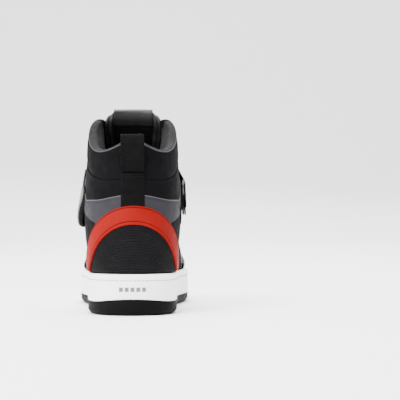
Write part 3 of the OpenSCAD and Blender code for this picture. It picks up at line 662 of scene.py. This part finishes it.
# Midsole: foam cup with a stitched groove and a soft top lip
z_groove = z_top - 5.9
inner_edge = ring_ledge + 1.7
wall("midsole_wall", [
    (9, z_rub), (1.4, z_rub), (0.7, z_rub + 0.1), (0.25, z_rub + 0.45), (0.05, z_rub + 1.1),
    (-0.05, lerp(z_rub, z_groove, 0.35)), (-0.05, lerp(z_rub, z_groove, 0.65)), (0.0, z_groove - 1.0),
    (0.12, z_groove - 0.72), (0.75, z_groove - 0.5), (0.95, z_groove), (0.75, z_groove + 0.5), (0.12, z_groove + 0.72),
    (0.0, z_groove + 1.0), (0.0, z_top - 2.2), (0.12, z_top - 1.1), (0.5, z_top - 0.4), (1.1, z_top - 0.05),
    (np.maximum(inner_edge - 0.7, 1.6), z_top + 0.02), (inner_edge, z_top - 0.3), (inner_edge + 0.3, z_top - 1.5),
    (inner_edge + 0.6, z_top - 7)], "white", replaces=["midsole"])
loop = np.arange(N_RING + 1) % N_RING
row = (sole_ring(0.72, z_groove)[loop], ring_n[loop])
stitches("midsole_stitches", [row], "thread_white", pitch=4.0, length=3.0, r=0.34)

# Five plain raised bars on the heel's wall
BAR_Z = 24.4
for k in range(-2, 3):
    us = np.mod(np.linspace(0.2 * k - 0.07, 0.2 * k + 0.07, 13), 20)
    v = v_at_z(us, WALL_Z)
    p, n = surf(us, v), unit(outward(us, v) * [1, 1, 0])
    rise = np.array([-2, -1.97, -1.86, -1.6, -0.8, 0, 0.8, 1.6, 1.86, 1.97, 2])
    edge = np.minimum(np.minimum(np.arange(13), 12 - np.arange(13)) * 3.5 / 12, 9)[:, None]
    edge = np.minimum(edge, (2 - np.abs(rise))[None, :])
    d = 0.55 - roll(edge, 0.5)
    base = (p + n * ledge(us)[:, None])[:, None] * [1, 1, 0] + (BAR_Z + rise)[None, :, None] * [0, 0, 1]
    slab_piece(f"heel_bar_{k + 3}", base + n[:, None] * d[..., None], base - n[:, None] * 0.3, "badge",
               replaces=["heel_badge"])

# Sockliner, with a shallow heel cup
liner_ring = (ring_p - ring_n * 8.8) * [1, 1, 0]
top = ladder(liner_ring, 40)
sy = top[..., 1]
across = np.abs(np.linspace(-1, 1, 40))[None, :]
end = np.minimum(np.arange(top.shape[0]), top.shape[0] - 1 - np.arange(top.shape[0]))[:, None] / 9
crown = np.maximum(across**4, 1 - np.minimum(1, end) ** 0.6)
level = core_top(sy)
top[..., 2] = level + 6.1 - 1.4 * smooth((sy + 60) / 80) - 1.3 * (1 - crown) * smooth((30 - sy) / 100) - 0.2
low = top.copy()
low[..., 2] = level + 2.1
slab_piece("sockliner", top[1:-1], low[1:-1], "sock", body="sockliner")

# ---- upper panels

RIB_PITCH = 2.55


def rib_height(u, v, t, p):
    """Arched ribs that flatten towards the sole."""
    a = np.minimum(heel_arc(u), 54)
    crest = solve(lambda c: c - (0.0018 + 0.0106 * np.clip((c - 36) / 48, 0, 1.5) ** 1.25) * a * a < p[..., 2],
                  20.0, 130.0, 18)
    return np.sin(math.pi * np.mod(crest / RIB_PITCH, 1)) ** 0.75 - 0.5


panel("heel_panel", -2.4, 2.3, base_v, lambda u: v_at_z(u, arch_mid_z(u)), -PANEL_T, 0.1, "ribbed", nu=110, nv=150,
      relief=rib_height)


def arch_low(u):
    return np.maximum(rim_v(u), v_at_z(u, arch_inner_z(u)))


def arch_high(u):
    return np.maximum(v_at_z(u, arch_outer_z(u)), rim_v(u) + 0.02)


def arch_relief(u, v, t, p):
    """A soft crown with a pressed seam line near each edge."""
    high, low = arch_high(u), arch_low(u)
    wide = np.linalg.norm(surf(u, high) - surf(u, low), axis=-1) + 0.01
    seam = np.exp(-(((1 - t) * wide - 1.7) / 0.42) ** 2) + np.exp(-((t * wide - 3.0) / 0.42) ** 2)
    return 0.3 * np.sin(math.pi * t) ** 0.7 - 0.5 * seam * smooth((wide - 5) / 2)


panel("heel_arch", -2.74, 2.64, arch_low, arch_high, -0.4, 0.45 + OVERLAY_T, "red", nu=200, nv=60, r=0.8,
      relief=arch_relief)
arch_us = np.linspace(-2.6, 2.5, 260)
lo_v, hi_v = arch_low(arch_us), arch_high(arch_us)
span = np.linalg.norm(surf(arch_us, hi_v) - surf(arch_us, lo_v), axis=-1) + 0.01
rows = []
for t in (1 - 1.7 / span, 3.0 / span):
    pts, nrm = on_skin(arch_us, lo_v + (hi_v - lo_v) * t, 0.45 + OVERLAY_T - 0.16)
    rows.append((pts[span > 7], nrm[span > 7]))
stitches("heel_arch_stitches", rows, "thread_red", pitch=2.3, length=1.9, r=0.3)

# Grey ankle wings with a rolled top edge, painted lighter than the wing's own grey leather: a painted highlight
SIDES = ((1, "lateral"), (-1, "medial"))
for s, side in SIDES:
    a, b = (0.0, 4.96) if s > 0 else (-4.96, 0.0)
    panel(f"wing_{side}", a, b, lambda u: wing_floor_v(u) - 0.05, lambda u: v_at_z(u, wing_top_z(u)), -PANEL_T, 0.5,
          "grey", nu=110, nv=26)
    us = np.linspace(0.36, 4.96, 150) * s
    pts, nrm = on_skin(us, v_at_z(us, wing_top_z(us) - 0.25), 0.42)
    tube(f"wing_edge_{side}", pts, 0.42, "grey_edge_highlight")
    row = on_skin(us, v_at_z(us, wing_top_z(us) - 2.6), 0.52)
    stitches(f"wing_stitches_{side}", [row], "thread_grey", r=0.22)


def back_relief(u, v, t, p):
    return 0.35 * np.sin(math.pi * t) + 0.18 * wave_noise(p, 26, 3)


panel("back_panel", -4.94, 4.94, lambda u: v_at_z(u, wing_top_z(u) - 4), lambda u: v_at_z(u, seam_z(u) - 0.25),
      -PANEL_T, 0.0, "nubuck", nu=150, nv=20, r=0.7, relief=back_relief)


def quarter_relief(u, v, t, p):
    return 0.12 * wave_noise(p, 30, 5) + 0.75 * smooth((np.abs(u) - 6.55) / 0.2)


def quarter_low(u):
    return lerp(v_at_z(u, arch_mid_z(u) - 2), base_v(u), smooth((np.abs(u) - 2.0) / 0.25))


for s, side in SIDES:
    a, b = (1.45, 7.02) if s > 0 else (-7.02, -1.45)
    panel(f"quarter_{side}", a, b, quarter_low, lambda u: wing_floor_v(u) + 0.12, -PANEL_T, 0.0, "nubuck",
          nu=130, nv=40, relief=quarter_relief)
    vs = np.linspace(rim_v(np.array([6.94 * s]))[0], EDGE_ROW + 0.1, 60)
    rows = [on_skin(np.full(60, at * s), vs, 0.8) for at in (6.95, 6.88)]
    stitches(f"quarter_stitches_{side}", rows, pitch=2.6, length=1.9, slot="black_nubuck")

# Light sliver ahead of the arch, along the red band's outer edge: a painted highlight
TRIM_U0, TRIM_U1 = 2.2, 2.62
us = np.linspace(TRIM_U0, TRIM_U1, 60)
trim_low = np.maximum(rim_v(us, 3.6), v_at_z(us, arch_outer_z(us) + 0.6))
grid_t = np.array([0, 0.03, 0.12, 0.3, 0.5, 0.7, 0.88, 0.97, 1])
tv = trim_low[:, None] + 0.15 * grid_t[None, :]
tu = np.broadcast_to(us[:, None], tv.shape)
taper = np.sqrt(np.clip(np.minimum(us - TRIM_U0, TRIM_U1 - us) / 0.05, 0, 1))[:, None]
td = 0.3 + 0.9 * np.sqrt(np.maximum(0, 1 - (2 * grid_t - 1) ** 2))[None, :] * taper
slab_piece("side_trim", skin(tu, tv, td), skin(tu, tv, np.full(tv.shape, -0.2)), "trim")

# ---- vamp and toe


def vamp_high(u):
    side = toe_side(u)
    return lerp(EDGE_ROW + 0.1, TOP, smooth((side - 8.86) / 0.1))


def vamp_relief(u, v, t, p):
    """Faint waves and two flex creases, fading where the quarters lie over the vamp."""
    waves = 0.16 * wave_noise(p, 34, 8)
    creases = 0.35 * np.exp(-((p[..., 1] - 82 - 0.05 * p[..., 0]) / 3.0) ** 2) * smooth((v - 2.2) / 0.8) \
        + 0.25 * np.exp(-((p[..., 1] - 68) / 2.6) ** 2) * smooth((v - 2.6) / 0.8)
    return (waves - creases) * smooth((3.02 - np.abs(u - 10)) / 0.3) - 0.3 * smooth((np.abs(u - 10) - 2.9) / 0.06)


panel("vamp", 6.94, 13.06, base_v, vamp_high, -PANEL_T, -0.05, "vamp_leather", nu=180, nv=60, relief=vamp_relief)


def overlay_high(u):
    return rim_v(u) + 0.3 + 0.8 * smooth((toe_side(u) - 7.4) / 1.7)


def level(v):
    return lambda u: np.full(u.shape, float(v))


def overlay_rows(us, *vs):
    return [on_skin(us, v, OVERLAY_T + 0.02) for v in vs]


panel("toe_overlay", 7.38, 12.62, rim_v, overlay_high, -0.3, 0.1 + OVERLAY_T, "leather", nu=150, nv=14, r=0.6)
us = np.linspace(7.5, 12.5, 220)
rows = [on_skin(us, overlay_high(us) - below, 0.12 + OVERLAY_T) for below in (0.09, 0.2)]
stitches("toe_overlay_stitches", rows, pitch=2.5)

# Rows of small round holes over the toes, each a dimple coloured darker than the leather: painted shade in the hole
verts, faces = [], []
for row in range(6):
    v, n = 2.55 + row * 0.3, 11 - row
    for k in range(n):
        u = 10 + (k - (n - 1) / 2) * 0.165
        first = len(verts)
        verts += rings(surf(u, v), outward(u, v), [0, 1, 0.2],
                       [(1.05, 0.06), (0.9, 0.18), (0.7, 0.12), (0.3, 0.0)], 14)
        faces += ring_faces(first, 4, 14) + [tuple(first + 42 + j for j in range(14))]
make("toe_holes", np.array(verts), faces, "hole", closed=False)

panel("throat_bar", 9.2, 10.8, level(4.15), level(TOP), -0.5, OVERLAY_T, "leather", nu=50, nv=10, r=0.6)
stitches("throat_stitches", overlay_rows(np.linspace(9.28, 10.72, 60), 4.27))

# ---- eyestays, eyelets and laces

EYE_V = 4.64
eye_us = np.linspace(6.8, 8.6, 6)
for s, side in SIDES:
    a, b = (4.9, 8.95) if s > 0 else (-8.95, -4.9)
    panel(f"eyestay_{side}", a, b, level(EDGE_ROW), level(TOP), -PANEL_T, OVERLAY_T, "leather", nu=140, nv=16, r=0.7)
    rows = overlay_rows(np.linspace(5.0, 8.85, 200) * s, EDGE_ROW + 0.1, EDGE_ROW + 0.19, TOP - 0.11)
    stitches(f"eyestay_stitches_{side}", rows, pitch=2.5)

prof = [(1.9, 0.15), (2.05, 0.5), (2.25, 0.78), (2.7, 0.95), (3.2, 0.86), (3.6, 0.5), (3.75, 0.1), (3.8, -0.3)]
verts, faces, holes, hole_faces = [], [], [], []
for u in np.concatenate([eye_us, -eye_us]):
    n = outward(u, EYE_V)
    place = (surf(u, EYE_V) + n * OVERLAY_T, n, [0.1, 1, 0.2])
    faces += ring_faces(len(verts), len(prof), 28)
    verts += rings(*place, prof, 28)
    # Each eyelet is closed by a flat disc of the darker hole colour, painted shade in the hole
    hole_faces.append(tuple(range(len(holes), len(holes) + 28)))
    holes += rings(*place, [(1.95, 0.18)], 28)
make("eyelets", np.array(verts), faces, "metal", closed=False)
make("eyelet_holes", np.array(holes), hole_faces, "hole", closed=False)

UP = unit(np.array([0, 0.62, 0.785]))  # away from the instep
for i in range(5):
    for s, lift in ((1, 0.0), (-1, 1.8)):
        us = np.array([eye_us[i] * s, -eye_us[i + 1] * s])
        (pa, pb), (na, nb) = surf(us, EYE_V), outward(us, EYE_V)
        ra, rb = skin(us, TOP, 0.0) + outward(us, TOP) * 2.7
        mid = (ra + rb) / 2 + (1.2 + lift) * UP
        route = [pa - na * 1, pa + na * 1.2, pa + na * 3.4 + unit(ra - pa) * 1.6, ra + 0.5 * lift * UP, mid,
                 rb + 0.5 * lift * UP, pb + nb * 3.4 + unit(rb - pb) * 1.6, pb + nb * 1.2, pb - nb * 1]
        ctrl = np.array([2 * route[0] - route[1]] + route + [2 * route[-1] - route[-2]])
        path = spline(ctrl, np.linspace(0, len(ctrl) - 3.001, 70))
        tangent = unit(np.gradient(path, axis=0))
        across = unit(np.cross(UP, unit(pb - pa)))
        across = unit(across[None] - tangent * (tangent @ across)[:, None])
        narrow = 0.55 + 0.45 * smooth(np.minimum(np.arange(70), 69 - np.arange(70)) / 12)
        ribbon(f"lace_{i + 1}_{'a' if s > 0 else 'b'}", path, across, 6.2 * narrow, 1.15, "lace", crown=0.15,
               replaces=["laces"])

# ---- padded collar, lining

pad_u = np.linspace(-4.9, 4.9, 190)
top_t = unit(surf(pad_u, TOP, dv=True))
thin = 1 - 0.5 * smooth((np.abs(pad_u) - 4.2) / 0.7)
near_tape = np.exp(-(((pad_u + 0.05) / 0.6) ** 4))
belly = smooth((4.4 - np.abs(pad_u)) / 1.2) * smooth((np.abs(pad_u) - 0.6) / 0.8)
seam_v = v_at_z(pad_u, seam_z(pad_u) + 0.15)
section, tags = [], []


def add_row(v, d, tag, along=0.0):
    """One row of the collar's section: depth d from the surface at v, and how far it stands over the topline."""
    v, d = np.broadcast_to(v, pad_u.shape), np.broadcast_to(d, pad_u.shape)[:, None]
    section.append(surf(pad_u, v) + outward(pad_u, v) * d + top_t * np.reshape(along, (-1, 1)))
    tags.append(tag)


for t in (0, 0.02, 0.06, 0.14, 0.26, 0.4, 0.54, 0.68, 0.8, 0.9, 0.96):
    d = -0.7 + 0.8 * np.sqrt(min(1, t / 0.14)) + 0.55 * math.sin(math.pi * t) - 0.25 * smooth((t - 0.8) / 0.2)
    add_row(lerp(seam_v, TOP, t), d - near_tape * (d + 0.45) * smooth((0.75 - t) / 0.3), 0)
corner = smooth((np.abs(pad_u) - 4.0) / 0.8)
for k, a in enumerate(np.linspace(0, math.pi, 11)):
    add_row(TOP, -0.15 - (4.1 * thin + 0.9 * corner) * (1 - math.cos(a)), int(k > 0),
            (2.0 - 0.6 * corner) * math.sin(a) ** 0.8)
for t in (0.06, 0.16, 0.28, 0.42, 0.58, 0.74, 0.88, 1.0):
    swell = (1.0 + 9.0 * belly) * math.sin(math.pi * min(1, t * 1.25))
    d = -(8.4 - 2.4 * smooth((t - 0.5) / 0.5) + swell) * thin - 1.8 * corner * (1 - t)
    add_row(lerp(TOP, 2.5, t), np.minimum(d, -2.4), 1)
for t in (0.25, 0.6, 0.9):
    add_row(lerp(2.5, seam_v, t), -2.0, 1)
grid = np.stack(section, 1)
n, m = grid.shape[:2]
faces = ring_faces(0, n, m, caps=True)
# Lining-side faces take the lighter pad copy, a painted sheen; towards the front corners the top roll keeps the
# cover's colour
face_mat = [tags[(k + 1) % m] if abs(pad_u[i]) < 3.95 or k > m - 12 else 0
            for i in range(n - 1) for k in range(m)] + [1, 1]
collar = make("collar", grid, faces, "nubuck", body=None, uv=arc_map(grid), extra=("pad",), face_mat=face_mat,
              replaces=["collar_cuff", "collar_foam"], slot="black_leather")
pins = np.zeros((n, m))
pins[:, 0:2] = 1
pins[:, 10:12] = 0.9
pins[:, -4:] = 1
pins[:3], pins[-3:] = 1, 1
pins[near_tape > 0.3, :9] = 1
inflate(collar, pins.ravel(), 3.0, 16, 1.6, grow=0.006)
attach(collar, "upper")

# Thin piping where the cover meets the lining, its black leather painted light grey as a painted highlight along the
# topline; and the topline stitches
us = np.linspace(-4.86, 4.86, 260)
pts = surf(us, TOP) + outward(us, TOP) * -0.05 + unit(surf(us, TOP, dv=True)) * -0.1
tube("topline_piping", pts, 0.6, "piping")
row = on_skin(us, v_at_z(us, seam_z(us) - 2.2), 0.32)
rows = [tuple(x[part] for x in row) for part in (us < -0.5, us > 0.4)]
stitches("seam_stitches", rows, r=0.2, slot="black_nubuck")


us = np.linspace(-9.9, 9.9, 220)
low_v = base_v(us)
high_v = lerp(lerp(3.0, 4.93, smooth((np.abs(us) - 4.55) / 0.2)), 4.1, smooth((np.abs(us) - 4.7) / 0.5))
u, v = between(us, low_v, high_v, np.linspace(0, 1, 40))
depth = PANEL_T + 2.4 + 3 * smooth((v - 2.2) / 0.9) * (1 - smooth((np.abs(u) - 4.5) / 0.9))
slab_piece("lining", skin(u, v, -depth), skin(u, v, -depth - 1.0), "lining")

# ---- tongue

TONGUE = np.array([[98, 63], [84, 71.5], [62, 84], [44, 93.2], [28, 103.5], [12, 116], [-1, 129.5], [-11.5, 144.5],
                   [-18.5, 161], [-23, 177], [-26.5, 191], [-29, 203], [-31, 215]], float)
s_table = np.linspace(0, 9.99, 600)
j_table = np.floor(s_table).astype(int)
near = TONGUE[np.minimum(j_table[:, None] + np.arange(4), len(TONGUE) - 1)]
mid_table, dir_table = (np.einsum("ia,iac->ic", basis(s_table - j_table, slope), near) for slope in (False, True))
dir_table = unit(dir_table)


def tongue_point(x, z, d, h=0.0):
    """A point of the bent tongue: x across it, z up it, d out of its face and h along it."""
    x, z, d, h = arrays(x, z, d, h)
    cy, cz, gy, gz = (np.interp(z, mid_table[:, 1], table[:, k]) for table in (mid_table, dir_table) for k in (0, 1))
    off = d - 0.00039 * np.abs(x) ** 3
    return np.stack([x + centre_x(cy) + 0.4, cy + off * gz + h * gy, cz - off * gy + h * gz], -1)


def tongue_half(z):
    return 16 + 12.3 * smooth((z - 60) / 75) - 0.2 * smooth((z - 140) / 25) + 1.3 * smooth((z - 166) / 14)


def tongue_t(z):
    return 4.2 + 2.8 * smooth((z - 120) / 50)


xs = np.concatenate([np.linspace(-1, -0.66, 27), np.linspace(-0.63, 0.63, 23), np.linspace(0.66, 1, 27)])
ts = np.concatenate([np.linspace(0, 0.93, 84), [0.95, 0.965, 0.98, 0.99, 1.0]])
X, T = np.meshgrid(xs, ts, indexing="ij")
lobe = np.abs(X)
z_end = 195.3 - 2.0 * smooth((lobe - 0.68) / 0.07) - 9.5 * np.clip((lobe - 0.74) / 0.26, 0, 1) ** 2.4
Z = lerp(66, z_end, T)
fold = np.clip((lobe - 0.67 + 0.012 * ((Z - 177) / 7) ** 2) / 0.33, 0, 1)
side_lobes = np.abs(np.sin(2 * math.pi * fold)) ** 0.55
puff = np.where(lobe < 0.67, (1 - (lobe / 0.67) ** 4) * 0.4, side_lobes * 2.0) * smooth((Z - 115) / 40)
edge = np.sqrt(1 - np.clip((lobe - 0.92) / 0.08, 0, 1) ** 2) * np.sqrt(1 - np.clip((T - 0.95) / 0.05, 0, 1) ** 2)
thick = tongue_t(Z)
wrinkle = wave_noise(np.stack([X * 27, Z * 1.6, X * 0], -1), 13, 21)
wrinkle = 0.4 * wrinkle * smooth((Z - 120) / 30) * smooth((lobe - 0.6) / 0.1)
front = tongue_point(X * tongue_half(Z), Z, -thick / 2 + (thick / 2 + 0.4 * puff + wrinkle) * edge)
back = tongue_point(X * tongue_half(Z), Z, -thick / 2 - (thick / 2 + puff + wrinkle) * edge)
# Faces on the side rolls take the lighter copy of the tongue fabric, a painted sheen
painted_sheen_faces = [int(lobe.ravel()[min(f) % lobe.size] > 0.66) for f in slab(front, back)[1]]
tongue = slab_piece("tongue", front, back, "tongue", body=None, replaces=["tongue_lower", "tongue_top"],
                    extra=("tongue_roll_sheen",), face_mat=painted_sheen_faces)
pins = np.zeros(X.shape)
pins[Z < 140] = 1
pins[np.abs(fold - 0.5) < 0.06] = 1
pins[(lobe < 0.7) & (Z > 172)] = 1
pins = np.concatenate([pins.ravel(), pins.ravel()])
inflate(tongue, pins, 4.0, 14, 1.8, grow=0.04)
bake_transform(tongue)

# The cap folded over its top: height, depth from the front face, and how far it stands over the end
rear = -float(tongue_t(195.5))
cap_path = [(174.5, 0.75, 0), (178, 0.95, 0), (184, 1.0, 0), (190, 1.0, 0), (194.6, 1.0, 0), (195.5, 0.9, 0.6),
            (195.5, 0.2, 1.45), (195.5, -1.2, 2.0), (195.5, rear / 2, 2.15), (195.5, rear + 1.2, 2.0),
            (195.5, rear - 0.2, 1.45), (195.5, rear - 1.1, 0.6), (194.4, rear - 1.6, 0), (192, rear - 1.9, 0),
            (189.5, rear - 1.9, 0), (186.5, rear - 1.5, 0), (183.5, rear - 0.9, 0), (182.2, rear - 0.7, 0)]
cap_x = 19.3 * np.concatenate([[-1, -0.99, -0.96], np.linspace(-0.9, 0.9, 19), [0.96, 0.99, 1]])
drop = np.array([0.5, 0.2, 0.05] + [0] * 19 + [0.05, 0.2, 0.5])
outer, inner, rows = [], [], [[], []]
for z, d, h in cap_path:
    out, over = 1 if d > rear / 2 else -1, h > 0.4
    outer.append(tongue_point(cap_x, z, d + out * (0.35 - drop), h + 0.35 * over))
    inner.append(tongue_point(cap_x, z, d - out * 0.75, max(h - 0.9, 0)))
    for row, x in zip(rows, (-17.6, 17.6)):
        row.append(tongue_point(x, z, d + out * 0.36, h + 0.3 * over))
slab_piece("tongue_cap", np.array(outer), np.array(inner), "leather_soft", body="tongue_top")
rows = [(np.array(row), unit(np.array(row) - np.mean(row, 0) + [0, 0, 6])) for row in rows]
stitches("tongue_cap_stitches", rows, body="tongue_top", length=1.7, r=0.2)

kx = np.linspace(-9.5, 9.5, 12)
kz = np.array([91.5, 91.7, 92.3, 94, 97, 100, 101.7, 102.3, 102.5])
KX, KZ = np.meshgrid(kx, kz, indexing="ij")
kd = 1.9 - 1.0 * (np.abs(KX) / 9.5) ** 4
slab_piece("lace_keeper", tongue_point(KX, KZ, kd + 0.45), tongue_point(KX, KZ, kd - 0.45), "webbing")

# ---- heel tape and pull loop

TAPE_U0, TAPE_U1 = -0.45, 0.43
tx = np.array([0, 0.015, 0.06, 0.2, 0.35, 0.5, 0.65, 0.8, 0.94, 0.985, 1])
prof = np.array([0.4, 0.75, 1, 1, 1, 1, 1, 1, 1, 0.75, 0.4])[:, None]
U, Z = np.meshgrid(lerp(TAPE_U0, TAPE_U1, tx), np.linspace(97.5, 132.6, 40), indexing="ij")
V = v_at_z(U, Z)
d = 0.55 + 0.85 * ((Z - 97.5) / 34) ** 2
slab_piece("heel_tape", skin(U, V, d + 0.6 * prof), skin(U, V, d - 0.6 * prof), "webbing")

LOOP = [[-140.4, 132.5], [-143, 136.5], [-147.2, 143], [-148.2, 154], [-147.6, 163], [-145, 169.4],
        [-142.4, 163], [-141.9, 154], [-141, 143], [-140.1, 136.5]]
yz = spline(LOOP, np.linspace(0, 10, 120, endpoint=False), closed=True)
path = np.stack([np.full(120, float(centre_x(-145.0)) - 0.1), yz[:, 0], yz[:, 1]], -1)
loop = ribbon("pull_loop", path, np.tile([1.0, 0, 0], (120, 1)), 22, 1.25, "webbing", wrap=True, body=None)
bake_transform(loop)
# Two rows of stitches that hold the loop down
us = np.linspace(TAPE_U0 + 0.05, TAPE_U1 - 0.05, 30)
rows = [on_skin(us, v_at_z(us, z), 1.95) for z in (131.0, 128.6)]
stitches("loop_stitches", rows, pitch=2.0, length=1.5, r=0.22, slot="black_webbing")

# ---- ankle strap

LEAN = math.radians(33)
BAND_Z, RING_X, RING_F, STRAP_W = 128.0, 48.2, 10.0, 29
BAND = np.array([[-48.3, 5], [-48.3, 12], [-46.4, 23], [-44.9, 34], [-42.9, 45], [-39.6, 56], [-34.9, 66.5],
                 [-26, 74.5], [-10, 78], [6, 78], [22, 74.5], [32.2, 66.5], [37.4, 56], [40.6, 45], [41.9, 34],
                 [43.7, 23], [45.7, 13], [46.1, 7], [46.1, 1]], float)


def from_ankle(x, f, w):
    """A point in the strap's own plane: x across the shoe, f forward and w up along the shin."""
    x, f, w = arrays(x, f, w)
    return np.stack([x, f * math.cos(LEAN) - w * math.sin(LEAN), f * math.sin(LEAN) + w * math.cos(LEAN)], -1)


ACROSS = from_ankle(0, 0, 1)


def band_side(ctrl, t):
    j = np.clip(np.floor(t).astype(int), 0, len(ctrl) - 4)
    g = np.einsum("ia,iac->ic", basis(t - j, True), ctrl[j[:, None] + np.arange(4)])
    return unit(np.stack([-g[:, 1], g[:, 0]], -1))


fine_t = np.linspace(12, 16, 400)
band_end = float(np.interp(-(RING_F - 0.8), -spline(BAND, fine_t)[:, 1], fine_t))
under = spline(BAND, np.linspace(2, band_end, 150))
t_over = np.linspace(band_end, 2.32, 140)
step = 1.9 - 0.4 * smooth((t_over - 7) / 4) + 2.7 * smooth((t_over - 12.8) / (band_end - 12.8))
over = spline(BAND, t_over) + band_side(BAND, t_over) * step[:, None]
turn_a = np.linspace(math.pi, 2 * math.pi, 14)[1:-1]
turn = np.stack([RING_X + 2.1 * np.cos(turn_a), RING_F - 0.8 + 2.1 * np.sin(turn_a)], -1)
flat = np.concatenate([under, turn, over])
path = from_ankle(flat[:, 0], flat[:, 1], BAND_Z)
lean = -0.05 * smooth((30 - flat[:, 1]) / 15) * (flat[:, 0] > 0)
ribbon("strap", path, ACROSS + lean[:, None] * [1, 0, 0], STRAP_W, 1.3, "webbing")

# The loose tab's lower and upper edges, and how far it bows outwards across its width
TAB_F = [40, 34.2, 25, 12, 0, -10, -16.5, -23]
TAB_LOW = np.stack([[-46.2, -46.9, -47.9, -49.9, -51.3, -52.7, -53.7, -54.5], TAB_F], -1)
TAB_HIGH = np.stack([[-46.2, -46.9, -47.7, -48.6, -48.6, -48.2, -47.8, -47.2], TAB_F], -1)
BULGE_Q = [0, 0.08, 0.2, 0.35, 0.5, 0.65, 0.8, 1]
BULGE_X = [4.6, 2.2, 0.2, -1.1, -1.5, -1.1, -0.2, 0.8]


def tab_width(f):
    return STRAP_W + 12 * smooth((30 - f) / 34)


def tab_piece(name, t0, t1, q0, q1, d_low, d_high, mat, body, corner, r, nt=30, pad=0.0, **more):
    """A layer of the loose end between its lower and upper edges, bowed outwards towards its rounded far end."""
    t = lerp(t0, t1, np.concatenate([np.linspace(0, 0.8, nt), np.linspace(0.82, 1, nt // 2 + 8)]))
    low, high = spline(TAB_LOW, t), spline(TAB_HIGH, t)
    side = -band_side(TAB_LOW, t)
    f_mid = (low[:, 1] + high[:, 1]) / 2
    width = tab_width(f_mid)
    to_end = (t1 - t) / (t1 - t0) * abs(f_mid[-1] - f_mid[0])
    cut = corner * (1 - np.sqrt(np.maximum(0, 1 - (1 - np.clip(to_end / corner, 0, 1)) ** 2)))
    q = np.concatenate([[0, 0.012, 0.04], np.linspace(0.08, 0.92, 22), [0.96, 0.988, 1]])
    inner = width * (q1 - q0) - 2 * cut
    W = ((q0 + q1) / 2 - 0.5) * width[:, None] + (q[None, :] - 0.5) * inner[:, None]
    share = W / width[:, None] + 0.5
    c = low[:, None] * (1 - share[..., None]) + high[:, None] * share[..., None]
    bow = smooth((34 - f_mid) / 52)[:, None]
    c[..., 0] += bow * np.interp(share, BULGE_Q, BULGE_X)
    W = W - 3.5 * bow
    drop = roll(np.minimum(np.minimum(q, 1 - q)[None, :] * width[:, None], to_end[:, None] + 0.02), r)
    thick = pad * smooth((bow - 0.35) / 0.4) * np.clip(np.sin(math.pi * share), 0, 1) ** 0.6
    outer, under = (c + side[:, None] * d[..., None] for d in (d_high - drop, d_low - thick + drop))
    outer, under = (from_ankle(x[..., 0], x[..., 1], BAND_Z + W) for x in (outer, under))
    return slab_piece(name, outer, under, mat, body=body, **more)


tab = tab_piece("strap_tab", 0.12, 5, 0, 1, -0.9, 0.95, "leather", None, 8.0, 0.7, nt=50, pad=2.8)
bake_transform(tab)
tab_piece("tab_shell", 3.3, 4.99, 0.005, 0.995, 0.1, 2.1, "trim", "strap_tab", 8.0, 0.9)
tab_piece("hook_patch", 3.1, 4.5, 0.06, 0.36, -3.0, -0.85, "hook", "strap_tab", 2.0, 0.3)
panel("loop_patch", 3.0, 3.55, lambda u: v_at_z(u, 91.0), lambda u: v_at_z(u, 102.0), 0.1, 0.7, "hook",
      nu=14, nv=12, r=0.3)
# Stitches across the strap's loose end
rows = []
q = np.linspace(0.1, 0.9, 24)
for t in (1.9, 2.9):
    tt = np.full(24, t)
    side = -band_side(TAB_LOW, tt)
    c = lerp(spline(TAB_LOW, tt), spline(TAB_HIGH, tt), q[:, None])
    p = c + side
    rows.append((from_ankle(p[:, 0], p[:, 1], BAND_Z + (q - 0.5) * tab_width(c[:, 1])),
                 unit(from_ankle(side[:, 0], side[:, 1], 0))))
stitches("tab_stitches", rows, body="strap_tab", pitch=2.2, length=1.6, r=0.22)

# Wire ring, its front bar standing a little further out, and the tape that holds it
LONG, WIDE, BEND = 12.0, 33.0, 3.0
bar = np.array([(sx * (LONG / 2 - BEND) + BEND * math.cos(a), sy * (WIDE / 2 - BEND) + BEND * math.sin(a))
                for sx, sy, turn in ((1, 1, 0), (-1, 1, 90), (-1, -1, 180), (1, -1, 270))
                for a in np.radians(np.linspace(turn, turn + 90, 9))])
path = from_ankle(RING_X + 0.12 * bar[:, 0] - 0.05 * bar[:, 1], RING_F - LONG / 2 + bar[:, 0], BAND_Z + bar[:, 1])
tube("strap_ring", path, 1.2, "metal", sides=16, closed=True)
f, x = RING_F - LONG, RING_X - 0.6
keeper = np.array([(x + 1.9, f - 8.6), (x + 1.9, f - 5), (x + 1.9, f - 2)]
                  + [(x + 1.9 * math.cos(a), f + 1.9 * math.sin(a)) for a in np.linspace(0, math.pi, 14)]
                  + [(x - 2.0, f - 2), (x - 2.2, f - 6), (x - 2.4, f - 12), (x - 2.8, f - 19), (x - 3.3, f - 25.5)])
path = from_ankle(keeper[:, 0], keeper[:, 1], BAND_Z - 2)
ribbon("ring_keeper", path, np.tile(ACROSS + [-0.05, 0, 0], (len(path), 1)), 18, 1.2, "webbing")

# ---- inner CAD nodes that stay

for name, mat in (("midsole_core", "foam"), ("heel_pad", "foam"), ("shank", "rubber"),
                  ("insole_board", "inner"), ("heel_counter", "inner"), ("toe_puff", "inner")):
    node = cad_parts[name]
    node.data.materials.clear()
    node.data.materials.append(MAT[mat])
